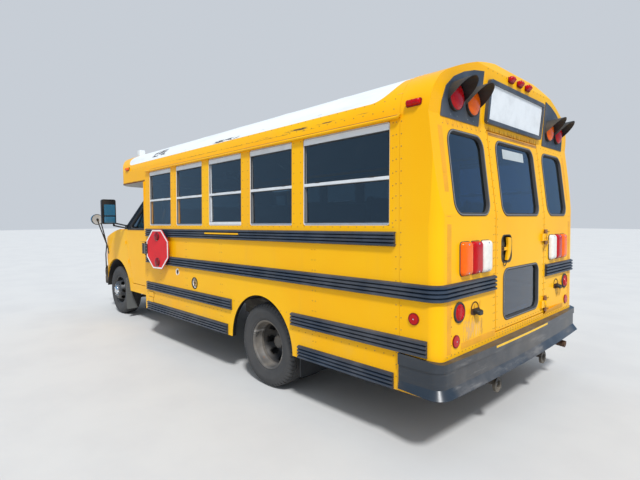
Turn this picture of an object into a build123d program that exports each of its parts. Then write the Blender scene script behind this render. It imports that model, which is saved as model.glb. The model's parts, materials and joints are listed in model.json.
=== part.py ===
from build123d import *
import os
from math import atan2, cos, degrees, radians, sin, sqrt, tan

os.makedirs("parts", exist_ok=True)

# Short school bus on a cutaway van chassis with twin rear wheels, in millimetres.
# +X is forward, +Y is the bus's left, +Z is up.
# Stations are counted from the rear axle with the body level. Export tilts the bus nose down by its rake
# and moves the origin under its middle.

# Driving dimensions
WHEELBASE = 4039
RAKE = 0.7               # degrees the bus stands nose down
TYRE_R = 371
FRONT_AXLE_Z = TYRE_R + WHEELBASE * tan(radians(RAKE))
TYRE_W = 220
RIM_R = 212
HALF_W = 1219            # half the body width at the belt
HALF_W_TOP = 1207        # half the body width under the drip rail
WALL = 40                # thickness of walls, roof and doors
SKIRT_Z = 383
BELT_Z = 1418
EAVE_Z = 2126            # top of the side walls
CROWN_Z = 2599           # top of the roof on the centre line
CROWN_R = 2600
SHOULDER_R = 280
REAR_X = -1765           # flat of the rear wall below its belt
REAR_BELT_Z = 1500       # above this height the rear wall leans forward
REAR_LEAN = 75           # how far it leans by the header
HEADER_Z = 2110
HEADER_BACK = 40         # how far the header leans back again by the roof
CORNER_R = 75
SEAM_X = -1487           # joint of the side walls with the rear wall
BODY_FRONT_X = 2400
CAP_FRONT_X = 3440
CENTRE_X = 1547          # middle of the bus, ahead of the rear axle
GAP = 8                  # gap around doors and lids

# Side windows
WINDOW_FRONT_X = 2259
WINDOW_PITCH = 711
WINDOW_W = 577
WINDOW_COUNT = 5
LAST_WINDOW_W = 825
WINDOW_Z0 = 1433
WINDOW_Z1 = 2095
SASH_Z = 1740

# Wheels and steering
ARCH_R = 440
ARCH_Z = 382
REAR_OUTER_Y = 1052      # middle of the outer rear tyre
REAR_INNER_Y = 790       # middle of the inner rear tyre
FRONT_WHEEL_Y = 873
KINGPIN_Y = 745
FRONT_ARCH_R = 540
FRONT_ARCH_Z = 371

# Cab
CAB_HALF_W = 1005
CAB_BELT_Z = 1372
SILL_Z = 464
DOOR_BOTTOM_Z = 591
BUMPER_Z0 = 471          # front bumper
BUMPER_Z1 = 757

# Rear door
DOOR_HALF_W = 456
DOOR_Z0 = 674
DOOR_Z1 = 2090
REAR_HINGE_X = REAR_X - 14
REAR_HINGE_Y = -DOOR_HALF_W - 8

HINGE_HEIGHTS = (745, 1312)

# Holes for the licence plate
PLATE_Y = 788
PLATE_Z = 758
PLATE_HOLES_Y = 178
PLATE_HOLES_Z = 121
PLATE_HOLE_R = 3.3

# Driver's door and entrance door
DRIVER_DOOR_X0 = 2450
DRIVER_HINGE_X = 3644
DRIVER_HINGE_Y = CAB_HALF_W + 14
ENTRY_X0 = 2480
ENTRY_X1 = 3260
ENTRY_Z0 = 430
ENTRY_Z1 = 2030
ENTRY_GAP = 14
ENTRY_MID_X = (ENTRY_X0 + ENTRY_X1) / 2

# Fuel filler in the left wall
FILLER_X = 1151
FILLER_Z = 823
FILLER_R = 57

# Stop arm
STOP_HINGE_X = 2160
STOP_HINGE_Y = 1322
STOP_Z = 1158
STOP_SIZE = 457
STOP_STOW = 7            # the stowed blade leans in towards the wall by this many degrees

# Front end
FENDER_REAR_X = 3380
HOOD_HALF_W = 790
GRILLE_Z0 = 768
GRILLE_Z1 = 1075
ENGINE_HALF_W = 280
PANEL = 25               # thickness of fenders, hood and grille panel

# Cab floor
CAB_FLOOR_Z0 = 560
CAB_FLOOR_Z1 = 600
CAB_FLOOR_X1 = 3640
TUNNEL_X0 = 3000
TUNNEL_TOP_Z = 998
STEP_Z = 430

# Hood
HOOD_HINGE_X = 3938
HOOD_HINGE_Z = 1382
HOOD_SIDE_X = 3745       # rear edge of the hood's line at the cab's side


def solid(x0, x1, y0, y1, z0, z1):
    return Pos((x0 + x1) / 2, (y0 + y1) / 2, (z0 + z1) / 2) * Box(x1 - x0, y1 - y0, z1 - z0)


def along_x(face, x0, x1):
    """A (y, z) outline, extruded from station x0 to x1."""
    return extrude(Plane(origin=(x0, 0, 0), x_dir=(0, 1, 0), z_dir=(1, 0, 0)) * face, amount=x1 - x0)


def along_y(face, y0, y1):
    """An (x, z) outline, extruded from y0 to y1."""
    return extrude(Plane(origin=(0, y1, 0), x_dir=(1, 0, 0), z_dir=(0, -1, 0)) * face, amount=y1 - y0)


def along_z(face, z0, z1):
    """An (x, y) outline, extruded from z0 to z1."""
    return extrude(Plane.XY.offset(z0) * face, amount=z1 - z0)


def outline(*points):
    return make_face(Polyline(*points, close=True))


def rounded(u0, u1, v0, v1, r):
    """A rectangle with round corners, placed by its limits."""
    return Pos((u0 + u1) / 2, (v0 + v1) / 2) * RectangleRounded(u1 - u0, v1 - v0, r)


def rod_x(y, z, r, x0, x1):
    return along_x(Pos(y, z) * Circle(r), x0, x1)


def rod_y(x, z, r, y0, y1):
    return along_y(Pos(x, z) * Circle(r), y0, y1)


def rod_z(x, y, r, z0, z1):
    return along_z(Pos(x, y) * Circle(r), z0, z1)


def bar(start, end, r):
    """A round bar between two points."""
    a = Vector(*start)
    b = Vector(*end)
    return extrude(Plane(origin=a, z_dir=b - a) * Circle(r), amount=(b - a).length)


def mirrored(piece):
    """The same piece on the other side of the bus."""
    return mirror(piece, about=Plane.XZ)


def both_sides(piece):
    return piece + mirrored(piece)


def joined(pieces):
    """Pieces of one node, touching or not, as one shape."""
    whole = pieces[0]
    for piece in pieces[1:]:
        whole = whole + piece
    return whole


# Body shell

def body_outline(inset):
    """Cross-section of the bus body: straight walls, shoulder arcs and a crown arc."""
    half = HALF_W - inset
    top = HALF_W_TOP - inset
    shoulder = SHOULDER_R - inset
    crown = CROWN_R - inset
    crown_z = CROWN_Z - CROWN_R
    mid_y = HALF_W_TOP - SHOULDER_R
    reach = CROWN_R - SHOULDER_R
    mid_z = crown_z + sqrt(reach ** 2 - mid_y ** 2)
    meet_y = mid_y / reach * crown
    meet_z = crown_z + (mid_z - crown_z) / reach * crown
    half_way = atan2(meet_z - mid_z, meet_y - mid_y) / 2
    arc_y = mid_y + shoulder * cos(half_way)
    arc_z = mid_z + shoulder * sin(half_way)
    walls = ((-top, mid_z), (-half, BELT_Z), (-half, SKIRT_Z), (half, SKIRT_Z), (half, BELT_Z), (top, mid_z))
    edges = [
        Polyline(*walls),
        ThreePointArc((top, mid_z), (arc_y, arc_z), (meet_y, meet_z)),
        ThreePointArc((meet_y, meet_z), (0, crown_z + crown), (-meet_y, meet_z)),
        ThreePointArc((-meet_y, meet_z), (-arc_y, arc_z), (-top, mid_z)),
    ]
    return make_face(Curve() + edges)


def rear_profile(inset, front):
    """Side view of the body's rear: upright, then leaning in, then leaning back up to the roof."""
    lower = REAR_X + inset
    header = lower + REAR_LEAN
    return outline(
        (front, SKIRT_Z), (lower, SKIRT_Z), (lower, REAR_BELT_Z), (header, HEADER_Z),
        (header - HEADER_BACK, CROWN_Z - 90), (header - HEADER_BACK + 25, CROWN_Z - 25),
        (header - HEADER_BACK + 90, CROWN_Z + 20), (front, CROWN_Z + 20),
    )


def rear_plan(inset, front):
    """Plan of the body's rear with its round corners."""
    r = CORNER_R - inset
    x0 = REAR_X + inset
    half = HALF_W - inset
    mid = r * (1 - cos(radians(45)))
    return make_face(Curve() + [
        Polyline((x0 + r, -half), (front, -half), (front, half), (x0 + r, half)),
        ThreePointArc((x0 + r, half), (x0 + mid, half - mid), (x0, half - r)),
        Line((x0, half - r), (x0, r - half)),
        ThreePointArc((x0, r - half), (x0 + mid, mid - half), (x0 + r, -half)),
    ])


def rear_block(inset, front=SEAM_X):
    """The rear end of the body as a block, set in from the outer skin."""
    block = along_x(body_outline(inset), REAR_X - 100, front)
    block = block & along_z(rear_plan(inset, front), SKIRT_Z, CROWN_Z + 50)
    return block & along_y(rear_profile(inset, front), -HALF_W - 60, HALF_W + 60)


def rear_skin(depth0, depth1):
    """A layer of the rear end between two depths under the outer skin."""
    return rear_block(depth0, SEAM_X - 1) - rear_block(depth1, SEAM_X + 50)


def window_spans():
    """Front and rear station of each side window."""
    spans = []
    for i in range(WINDOW_COUNT):
        front = WINDOW_FRONT_X - i * WINDOW_PITCH
        width = LAST_WINDOW_W if i == WINDOW_COUNT - 1 else WINDOW_W
        spans.append((front - width, front))
    return spans


def wall_outline():
    """Cross-section of the left wall."""
    return outline(
        (HALF_W, SKIRT_Z), (HALF_W, BELT_Z), (HALF_W_TOP, EAVE_Z),
        (HALF_W_TOP - WALL, EAVE_Z), (HALF_W - WALL, BELT_Z), (HALF_W - WALL, SKIRT_Z),
    )


def make_side_wall(front):
    """The left wall with its windows and wheel arch cut."""
    wall = along_x(wall_outline(), SEAM_X + 1, front)
    for x0, x1 in window_spans():
        wall = wall - solid(x0, x1, HALF_W - 100, HALF_W + 20, WINDOW_Z0, WINDOW_Z1)
    wall = wall - rod_y(0, ARCH_Z, ARCH_R, HALF_W - 100, HALF_W + 20)
    return wall - solid(-ARCH_R, ARCH_R, HALF_W - 100, HALF_W + 20, SKIRT_Z - 10, ARCH_Z + 2)


def make_drip_rail():
    """Gutter along the eave, falling a little towards the rear."""
    lip = outline((HALF_W_TOP - 2, 0), (HALF_W_TOP + 16, 0), (HALF_W_TOP + 16, 16), (HALF_W_TOP - 2, 22))
    return Pos(0, 0, 2100) * along_x(lip, SEAM_X + 2, BODY_FRONT_X - 60)


def make_left_side_wall():
    """The left wall carries the stop arm's bracket and the fuel filler in its pocket."""
    wall = make_side_wall(BODY_FRONT_X) + make_drip_rail() + make_stop_arm_bracket()
    wall = wall - rod_y(FILLER_X, FILLER_Z, FILLER_R, HALF_W - 32, HALF_W + 1)
    cap = rod_y(FILLER_X, FILLER_Z, 36, HALF_W - 33, HALF_W - 12)
    grip = solid(FILLER_X - 34, FILLER_X + 34, HALF_W - 13, HALF_W - 4, FILLER_Z - 7, FILLER_Z + 7)
    return wall + cap + grip


def make_right_side_wall():
    """The right wall runs on to the cab and holds the entrance."""
    wall = mirrored(make_side_wall(CAP_FRONT_X - 60) + make_drip_rail())
    front_part = solid(BODY_FRONT_X, CAP_FRONT_X, -HALF_W - 30, 0, 1975, EAVE_Z + 40)
    entry = solid(ENTRY_X0 - GAP, ENTRY_X1 + GAP, -HALF_W - 20, -HALF_W + 100, ENTRY_Z0 - GAP, ENTRY_Z1)
    plan = outline(
        (3345, -HALF_W), (3380, -HALF_W), (3600, -CAB_HALF_W - 1), (3600, -CAB_HALF_W + 22),
        (3575, -CAB_HALF_W + 22), (3345, -HALF_W + WALL),
    )
    corner = along_z(plan, SILL_Z, 1975)
    glass = along_y(rounded(3400, 3560, 1250, 1880, 30), -HALF_W - 10, -900)
    corner = corner - glass - rod_y(WHEELBASE, FRONT_ARCH_Z, FRONT_ARCH_R, -HALF_W - 10, -900)
    return (wall - front_part - entry) + corner


def make_roof():
    inside = along_x(body_outline(WALL), SEAM_X, BODY_FRONT_X + 1)
    ring = along_x(body_outline(0), SEAM_X + 1, BODY_FRONT_X) - inside
    return ring & solid(SEAM_X, BODY_FRONT_X, -HALF_W, HALF_W, EAVE_Z, CROWN_Z + 50)


def rear_window_outline(side):
    """A fixed rear window beside the door, in (y, z)."""
    y0, y1 = (556, 1014) if side > 0 else (-1014, -556)
    return rounded(y0, y1, 1505, 2023, 80)


def make_rear_wall():
    wall = rear_block(0, SEAM_X - 1) - rear_block(WALL, SEAM_X + 50)
    wall = wall - solid(REAR_X - 60, REAR_X + 400, -HALF_W + 200, HALF_W - 200, SKIRT_Z - 5, SKIRT_Z + 60)
    half = DOOR_HALF_W + 10
    wall = wall - solid(REAR_X - 60, REAR_X + 240, -half, half, DOOR_Z0 - GAP, DOOR_Z1 + GAP)
    for side in (1, -1):
        wall = wall - along_x(rear_window_outline(side), REAR_X - 60, REAR_X + 250)
    for y in (PLATE_Y - PLATE_HOLES_Y / 2, PLATE_Y + PLATE_HOLES_Y / 2):
        for z in (PLATE_Z - PLATE_HOLES_Z / 2, PLATE_Z + PLATE_HOLES_Z / 2):
            level = Pos(REAR_X, y, z) * Rot(0, 90 - RAKE, 0)
            wall = wall - level * Cylinder(PLATE_HOLE_R, 3 * WALL)
    for z in HINGE_HEIGHTS:
        for end in (-1, 1):
            z0 = z + end * 46
            x, y = REAR_HINGE_X, REAR_HINGE_Y
            barrel = rod_z(x, y, 11, z0 - 15, z0 + 15)
            leaf = solid(x - 3, REAR_X + 1, y - 70, y - 12, z0 - 15, z0 + 15)
            web = solid(x - 3, x + 3, y - 14, y - 5, z0 - 15, z0 + 15)
            wall = wall + barrel + leaf + web
    return wall


def make_rear_door():
    door = rear_skin(0, WALL) & solid(
        REAR_X - 60, REAR_X + 240, -DOOR_HALF_W, DOOR_HALF_W, DOOR_Z0, DOOR_Z1
    )
    door = door - along_x(rounded(-343, 343, 1504, 2027, 70), REAR_X - 60, REAR_X + 250)
    door = door - along_x(rounded(-326, 326, 740, 1095, 60), REAR_X - 60, REAR_X + 250)
    recess = along_x(rounded(200, 370, 1154, 1350, 45), REAR_X - 1, REAR_X + 32)
    lever = solid(REAR_X + 4, REAR_X + 16, 225, 345, 1240, 1262)
    lever = lever + rod_x(330, 1251, 16, REAR_X + 4, REAR_X + 33)
    door = door - recess + lever
    x, y = REAR_HINGE_X, REAR_HINGE_Y
    for z in HINGE_HEIGHTS:
        barrel = rod_z(x, y, 11, z - 30, z + 30)
        leaf = solid(x - 3, x + 3, y + 8, y + 80, z - 30, z + 30)
        pad = solid(x - 3, REAR_X + 1, y + 14, y + 80, z - 30, z + 30)
        door = door + barrel + leaf + pad
    return door


def make_rear_door_glass():
    pane = rear_skin(16, 22)
    upper = pane & along_x(rounded(-343, 343, 1504, 2027, 70), REAR_X - 60, REAR_X + 250)
    lower = pane & along_x(rounded(-326, 326, 740, 1095, 60), REAR_X - 60, REAR_X + 250)
    return upper + lower


def make_side_windows():
    """Aluminium frames, each with a border, a middle rail and a header band."""
    frames = []
    for x0, x1 in window_spans():
        y0, y1 = HALF_W_TOP - 30, HALF_W_TOP - 6
        frame = solid(x0, x1, y0, y1, WINDOW_Z0, WINDOW_Z1)
        frame = frame - solid(x0 + 22, x1 - 22, y0 - 5, y1 + 5, WINDOW_Z0 + 18, SASH_Z - 14)
        frame = frame - solid(x0 + 22, x1 - 22, y0 - 5, y1 + 5, SASH_Z + 14, WINDOW_Z1 - 38)
        frames.append(frame)
    left = joined(frames)
    return both_sides(left)


def make_body_glass():
    panes = []
    for x0, x1 in window_spans():
        y0, y1 = HALF_W_TOP - 22, HALF_W_TOP - 17
        panes.append(solid(x0 + 22, x1 - 22, y0, y1, WINDOW_Z0 + 18, SASH_Z - 14))
        panes.append(solid(x0 + 22, x1 - 22, y0, y1, SASH_Z + 14, WINDOW_Z1 - 38))
    left = joined(panes)
    rear = rear_skin(16, 22)
    rear_panes = [rear & along_x(rear_window_outline(side), REAR_X - 60, REAR_X + 250) for side in (1, -1)]
    return both_sides(left) + rear_panes[0] + rear_panes[1] + make_windscreen()


# Front cap over the cab

def cap_block(inset):
    """The cap as a block: the body's section, round front corners and a sloping brow."""
    front = CAP_FRONT_X - inset
    r = 430 - inset
    half = HALF_W - inset
    x0 = BODY_FRONT_X - 5
    corner = r * sin(radians(45))
    plan = make_face(Curve() + [
        Polyline((front - r, half), (x0, half), (x0, -half), (front - r, -half)),
        ThreePointArc((front - r, -half), (front - r + corner, -half + r - corner), (front, r - half)),
        Line((front, r - half), (front, half - r)),
        ThreePointArc((front, half - r), (front - r + corner, half - r + corner), (front - r, half)),
    ])
    crown = CROWN_Z - inset
    brow = make_face(Curve() + [
        Polyline((x0, 1990 + inset), (x0, crown + 60), (2700, crown + 60), (2700, crown + 12)),
        ThreePointArc((2700, crown + 12), (3180 - inset * 0.5, 2500 - inset), (front, 2200)),
        Polyline((front, 2200), (front, 1990 + inset), (x0, 1990 + inset)),
    ])
    block = along_x(body_outline(inset), x0, front + 5) & along_z(plan, 1900, CROWN_Z + 60)
    return block & along_y(brow, -HALF_W - 10, HALF_W + 10)


def make_front_cap():
    outer = cap_block(0) & solid(BODY_FRONT_X + 1, CAP_FRONT_X, -HALF_W, HALF_W, 1900, CROWN_Z + 100)
    cap = outer - (cap_block(WALL) + solid(BODY_FRONT_X - 20, BODY_FRONT_X + 20, -1100, 1100, 2040, 2400))
    opening = solid(BODY_FRONT_X - 20, 3060, -930, 930, 1900, 2120)
    return cap - opening


# Cab

def cab_section(x_front, bow, half, corner):
    """Plan of the cab greenhouse at one height: straight sides and a bowed front."""
    x0 = BODY_FRONT_X + 1
    return [
        Polyline((x_front - corner, half), (x0, half), (x0, -half), (x_front - corner, -half)),
        ThreePointArc((x_front - corner, -half), (x_front + bow, 0), (x_front - corner, half)),
    ]


def greenhouse(inset):
    """Cab above the belt: tapering sides and a raked windscreen."""
    low = make_face(Curve() + cab_section(3760 - inset, 330, CAB_HALF_W - inset, 60))
    high = make_face(Curve() + cab_section(2990 - inset, 240, 870 - inset, 60))
    return loft([Plane.XY.offset(CAB_BELT_Z) * low, Plane.XY.offset(1985) * high], ruled=True)


def driver_door_outline(grow):
    """Side view of the driver's door, grown by a gap."""
    g = grow
    return outline(
        (DRIVER_DOOR_X0 - g, DOOR_BOTTOM_Z - g), (3415 + g, DOOR_BOTTOM_Z - g), (3622 + g, CAB_BELT_Z - 20),
        (3590 + g, CAB_BELT_Z + 18 + g), (2985 + g, 1900 + g), (DRIVER_DOOR_X0 - g, 1900 + g),
    )


def driver_window_outline():
    return outline((2510, CAB_BELT_Z + 22), (3480, CAB_BELT_Z + 22), (2950, 1850), (2510, 1850))


def cab_side_block(inset):
    """Cab as a block from sill to header, set in from its skin."""
    lower = solid(BODY_FRONT_X + 1, 3690 - inset, -CAB_HALF_W + inset, CAB_HALF_W - inset, SILL_Z, CAB_BELT_Z)
    return lower + greenhouse(inset)


def make_cab_shell():
    """Cowl, pillars, windscreen frame, sills, firewall and the panel beside the driver's door."""
    skin = cab_side_block(0) - cab_side_block(WALL)
    skin = skin - solid(BODY_FRONT_X - 10, BODY_FRONT_X + 60, -CAB_HALF_W + 40, CAB_HALF_W - 60, 640, 1960)
    skin = skin - solid(2300, 3602, -1300, -CAB_HALF_W + 60, SILL_Z - 10, 2100)
    skin = skin - along_y(driver_door_outline(GAP), CAB_HALF_W - 260, CAB_HALF_W + 40)
    skin = skin - solid(BODY_FRONT_X - 10, 2900, -840, 840, 1940, 2000)
    glass_hole = outline((-880, CAB_BELT_Z + 50), (880, CAB_BELT_Z + 50), (770, 1900), (-770, 1900))
    skin = skin - along_x(glass_hole, 2950, 4300)
    skin = skin - solid(BODY_FRONT_X, 3800, -ENGINE_HALF_W - 20, ENGINE_HALF_W + 20, SILL_Z - 10, 960)
    skin = skin - rod_y(WHEELBASE, FRONT_ARCH_Z, FRONT_ARCH_R, -1100, 1100)
    under_fender = solid(FENDER_REAR_X, 3700, CAB_HALF_W - PANEL - 0.5, CAB_HALF_W + 50, 0, CAB_BELT_Z - 8)
    skin = skin - both_sides(under_fender)
    return skin + solid(BODY_FRONT_X + 1, BODY_FRONT_X + 31, CAB_HALF_W - 20, HALF_W, SKIRT_Z, 1988)


def make_cab_floor():
    """Cab floor with the engine's tunnel and the entrance step."""
    tunnel_y = ENGINE_HALF_W + 60
    floor = solid(BODY_FRONT_X + 10, CAB_FLOOR_X1, -940, 940, CAB_FLOOR_Z0, CAB_FLOOR_Z1)
    floor = floor - solid(TUNNEL_X0, CAB_FLOOR_X1 + 1, -tunnel_y, tunnel_y, 500, CAB_FLOOR_Z1 + 1)
    tunnel = solid(TUNNEL_X0, CAB_FLOOR_X1, -tunnel_y, tunnel_y, CAB_FLOOR_Z0, TUNNEL_TOP_Z)
    inner_y = tunnel_y - WALL
    tunnel = tunnel - solid(TUNNEL_X0 + WALL, 3700, -inner_y, inner_y, 500, TUNNEL_TOP_Z - WALL)
    step = solid(ENTRY_X0 - GAP, ENTRY_X1 + GAP, -HALF_W + WALL, -925, STEP_Z - 25, STEP_Z)
    riser = solid(ENTRY_X0 - GAP, ENTRY_X1 + GAP, -960, -925, STEP_Z - 25, CAB_FLOOR_Z1)
    return (floor + tunnel + step + riser) - rod_y(WHEELBASE, FRONT_ARCH_Z, FRONT_ARCH_R, -1100, 1100)


def make_driver_door():
    door = (cab_side_block(0) - cab_side_block(WALL)) & along_y(driver_door_outline(0), 700, CAB_HALF_W + 40)
    return door - along_y(driver_window_outline(), 700, CAB_HALF_W + 40)


def make_driver_door_glass():
    pane = cab_side_block(16) - cab_side_block(21)
    return pane & along_y(driver_window_outline(), 700, CAB_HALF_W + 40)


def make_windscreen():
    pane = greenhouse(14) - greenhouse(20)
    glass_hole = outline((-880, CAB_BELT_Z + 50), (880, CAB_BELT_Z + 50), (770, 1900), (-770, 1900))
    return pane & along_x(glass_hole, 2950, 4300)


def front_block(inset):
    """Front end of the van as a block: round corners in plan and a falling nose line."""
    half = CAB_HALF_W - inset
    nose = 4830 - inset
    r = 450 - inset
    x0 = FENDER_REAR_X
    corner = r * sin(radians(45))
    plan = make_face(Curve() + [
        Polyline((nose - r, half), (x0, half), (x0, -half), (nose - r, -half)),
        ThreePointArc((nose - r, -half), (nose - r + corner, r - half - corner), (nose, r - half)),
        ThreePointArc((nose, r - half), (nose + 35, 0), (nose, half - r)),
        ThreePointArc((nose, half - r), (nose - r + corner, half - r + corner), (nose - r, half)),
    ])
    top = 1385 - inset
    side = make_face(Curve() + [
        Line((x0, SILL_Z), (x0, top)),
        ThreePointArc((x0, top), (4250, 1305 - inset), (4740, 1120 - inset)),
        ThreePointArc((4740, 1120 - inset), (4835 - inset * 0.7, 1050 - inset * 0.7), (4870 - inset, 930)),
        Polyline((4870 - inset, 930), (4870 - inset, SILL_Z), (x0, SILL_Z)),
    ])
    return along_z(plan, SILL_Z, 1500) & along_y(side, -1100, 1100)


def cowl_zone(grow):
    """Plan of the cowl under the windscreen, ahead of which the hood begins."""
    return along_z(make_face(Curve() + [
        Polyline((HOOD_SIDE_X + grow, 1010), (3500, 1010), (3500, -1010), (HOOD_SIDE_X + grow, -1010)),
        ThreePointArc((HOOD_SIDE_X + grow, -1010), (4190 + grow, 0), (HOOD_SIDE_X + grow, 1010)),
    ]), 900, 1600)


def front_skin():
    return front_block(0) - front_block(PANEL)


def make_hood():
    zone = solid(3700, 4900, -HOOD_HALF_W, HOOD_HALF_W, GRILLE_Z1 + GAP, 1500)
    return (front_skin() & zone) - cowl_zone(GAP)


def make_front_fenders():
    skin = front_skin() - solid(3300, 4990, -HOOD_HALF_W - GAP, HOOD_HALF_W + GAP, GRILLE_Z0, 1500)
    skin = skin - solid(4579, 4990, -1100, 1100, 0, GRILLE_Z0)
    skin = skin - solid(3300, 4990, -640, 640, 0, GRILLE_Z0 + 1)
    skin = skin - rod_y(WHEELBASE, FRONT_ARCH_Z, FRONT_ARCH_R, -1100, 1100)
    left = skin & solid(3300, 4990, CAB_HALF_W - 240, 1100, 0, 1500)
    left = left - along_y(driver_door_outline(GAP), CAB_HALF_W - 260, CAB_HALF_W + 40)
    left = left - solid(3300, 3870, 0, 1100, CAB_BELT_Z - 8, 1500)
    return both_sides(left) - solid(3300, 3610, -1100, 0, 0, 1500)


def make_grille():
    """Front panel between the fenders with its bars and lamp openings."""
    panel = front_skin() & solid(4500, 4900, -HOOD_HALF_W, HOOD_HALF_W, GRILLE_Z0 + 2, GRILLE_Z1)
    for z in (790, 835, 880, 925, 970, 1015):
        panel = panel - solid(4700, 4900, -470, 470, z, z + 30)
    for side in (1, -1):
        y0, y1 = sorted((side * 500, side * 760))
        panel = panel - solid(4500, 4900, y0, y1, 850, 1030)
    return panel


def make_headlamps():
    lens = front_block(6) - front_block(20)
    return both_sides(lens & solid(4500, 4900, 500, 760, 850, 1030))


def bumper_band(grow):
    """Plan of the front bumper, filled, grown outwards."""
    nose = 4915 + grow
    half = CAB_HALF_W - 5 + grow
    mid = 560
    return make_face(Curve() + [
        Polyline((4590, half), (4590, -half)),
        ThreePointArc((4590, -half), (4830 + grow * 0.7, -850 - grow * 0.7), (nose, -mid)),
        ThreePointArc((nose, -mid), (nose + 35, 0), (nose, mid)),
        ThreePointArc((nose, mid), (4830 + grow * 0.7, 850 + grow * 0.7), (4590, half)),
    ])


def make_front_bumper():
    """Wraparound bumper: a band that follows the nose."""
    inside = along_z(bumper_band(-50), BUMPER_Z0 - 1, BUMPER_Z1 + 1)
    return along_z(bumper_band(0), BUMPER_Z0, BUMPER_Z1) - inside


# Chassis

RAIL_Y0 = 380
RAIL_Y1 = 450
RAIL_END_X = REAR_X + 52
HOOK_Y = 440
TOW_EYE_R = 30
TOW_X = REAR_X - 15       # rear face of the tow loops


def make_frame_rails():
    """The two channel rails of the ladder frame with the tow loops at their ends."""
    side = outline(
        (RAIL_END_X, 480), (2050, 480), (2350, 360), (4700, 360), (4700, 520), (2400, 520), (2100, 680),
        (RAIL_END_X, 680),
    )
    rail = along_y(side, RAIL_Y0, RAIL_Y1)
    rail = rail - solid(RAIL_END_X - 1, 2050, RAIL_Y0 - 1, RAIL_Y1 - 8, 490, 670)
    rail = rail - solid(2450, 4701, RAIL_Y0 - 1, RAIL_Y1 - 8, 370, 510)
    drop = solid(RAIL_END_X, RAIL_END_X + 24, HOOK_Y - 30, HOOK_Y + 30, 290, 481)
    reach = solid(TOW_X, RAIL_END_X + 24, HOOK_Y - 30, HOOK_Y + 30, 290, 330)
    loop = rod_x(HOOK_Y, 290, 54, TOW_X, TOW_X + 20)
    hook = drop + reach + loop - rod_x(HOOK_Y, 290, TOW_EYE_R, TOW_X - 5, TOW_X + 25)
    return both_sides(rail + hook)


CROSSMEMBERS = (
    # station, height of the middle
    (-1640, 600), (-820, 600), (650, 600), (1700, 600), (2700, 480), (3300, 480), (4600, 440),
)


def make_crossmembers():
    """Crossmembers between the webs of the rails."""
    half = RAIL_Y1 - 8.5
    return joined([solid(x - 35, x + 35, -half, half, z - 28, z + 28) for x, z in CROSSMEMBERS])


def make_rear_axle():
    """Axle tube, differential housing, leaf springs and spindles."""
    tube = rod_y(0, TYRE_R, 55, -640, 640)
    bowl = Pos(0, 0, TYRE_R) * Rot(90, 0, 0) * Cylinder(150, 190)
    nose = rod_x(0, TYRE_R, 70, 0, 240)
    axle = tube + bowl + nose
    axle = axle + rod_y(0, TYRE_R, 36, -1000, 1000)
    for side in (1, -1):
        y0, y1 = sorted((side * 500, side * 575))
        pin0, pin1 = sorted((side * (RAIL_Y1 + 1), side * 500))
        leaf = make_face(Curve() + [
            ThreePointArc((-680, 500), (0, TYRE_R + 55), (680, 500)),
            Line((680, 500), (680, 512)),
            ThreePointArc((680, 512), (0, TYRE_R + 95), (-680, 512)),
            Line((-680, 512), (-680, 500)),
        ])
        axle = axle + along_y(leaf, y0, y1)
        for x in (-690, 690):
            axle = axle + rod_y(x, 506, 24, y0, y1) + rod_y(x, 506, 10, pin0, pin1)
        axle = axle + solid(-60, 60, y0, y1, TYRE_R + 40, TYRE_R + 70)
    return axle


ARM_DROP = 140           # from the front axle down or up to the middle of each arm


def arm_outline(y_in, half_in, y_out, half_out):
    """Plan of a suspension arm, wide at the frame and narrow at the wheel."""
    return outline(
        (WHEELBASE - half_in, y_in), (WHEELBASE + half_in, y_in),
        (WHEELBASE + half_out, y_out), (WHEELBASE - half_out, y_out),
    )


def make_front_suspension():
    """Crossmember with upper and lower arms up to the steering pivots."""
    beam = solid(WHEELBASE - 110, WHEELBASE + 110, -RAIL_Y0, RAIL_Y0, 300, 355)
    lower_z = FRONT_AXLE_Z - ARM_DROP
    upper_z = FRONT_AXLE_Z + ARM_DROP
    arms = []
    for z, y_in in ((lower_z, 330), (upper_z, RAIL_Y1 + 5)):
        arm = arm_outline(y_in, 150, KINGPIN_Y, 28)
        gap = arm_outline(y_in + 40, 80, KINGPIN_Y - 120, 14)
        arms.append(along_z(arm, z - 12, z + 12) - along_z(gap, z - 13, z + 13))
        arms.append(rod_z(WHEELBASE, KINGPIN_Y, 28, z - 12, z + 12))
    post = solid(WHEELBASE - 120, WHEELBASE + 120, 330, RAIL_Y0 - 1, lower_z - 12, 359)
    tower = solid(WHEELBASE - 160, WHEELBASE + 160, RAIL_Y1 + 1, RAIL_Y1 + 25, 400, upper_z + 12)
    left = joined(arms) + post + tower
    return beam + both_sides(left)


def make_knuckle():
    """Left knuckle: upright between the two arms and a spindle for the wheel."""
    z = FRONT_AXLE_Z
    upright = rod_z(WHEELBASE, KINGPIN_Y, 26, z - ARM_DROP + 13, z + ARM_DROP - 13)
    flange = solid(WHEELBASE - 60, WHEELBASE + 60, KINGPIN_Y - 10, KINGPIN_Y + 28, z - 80, z + 80)
    return upright + flange + rod_y(WHEELBASE, z, 34, KINGPIN_Y, FRONT_WHEEL_Y + 110)


# Wheels

def turned(profile, x, z):
    """A profile of (radius, y) points turned about a wheel's axle."""
    face = make_face(Polyline(*[(y, r) for r, y in profile], close=True))
    about = Plane(origin=(x, 0, z), x_dir=(0, 1, 0), z_dir=(1, 0, 0))
    return revolve(about * face, axis=Axis((x, 0, z), (0, 1, 0)))


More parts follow.
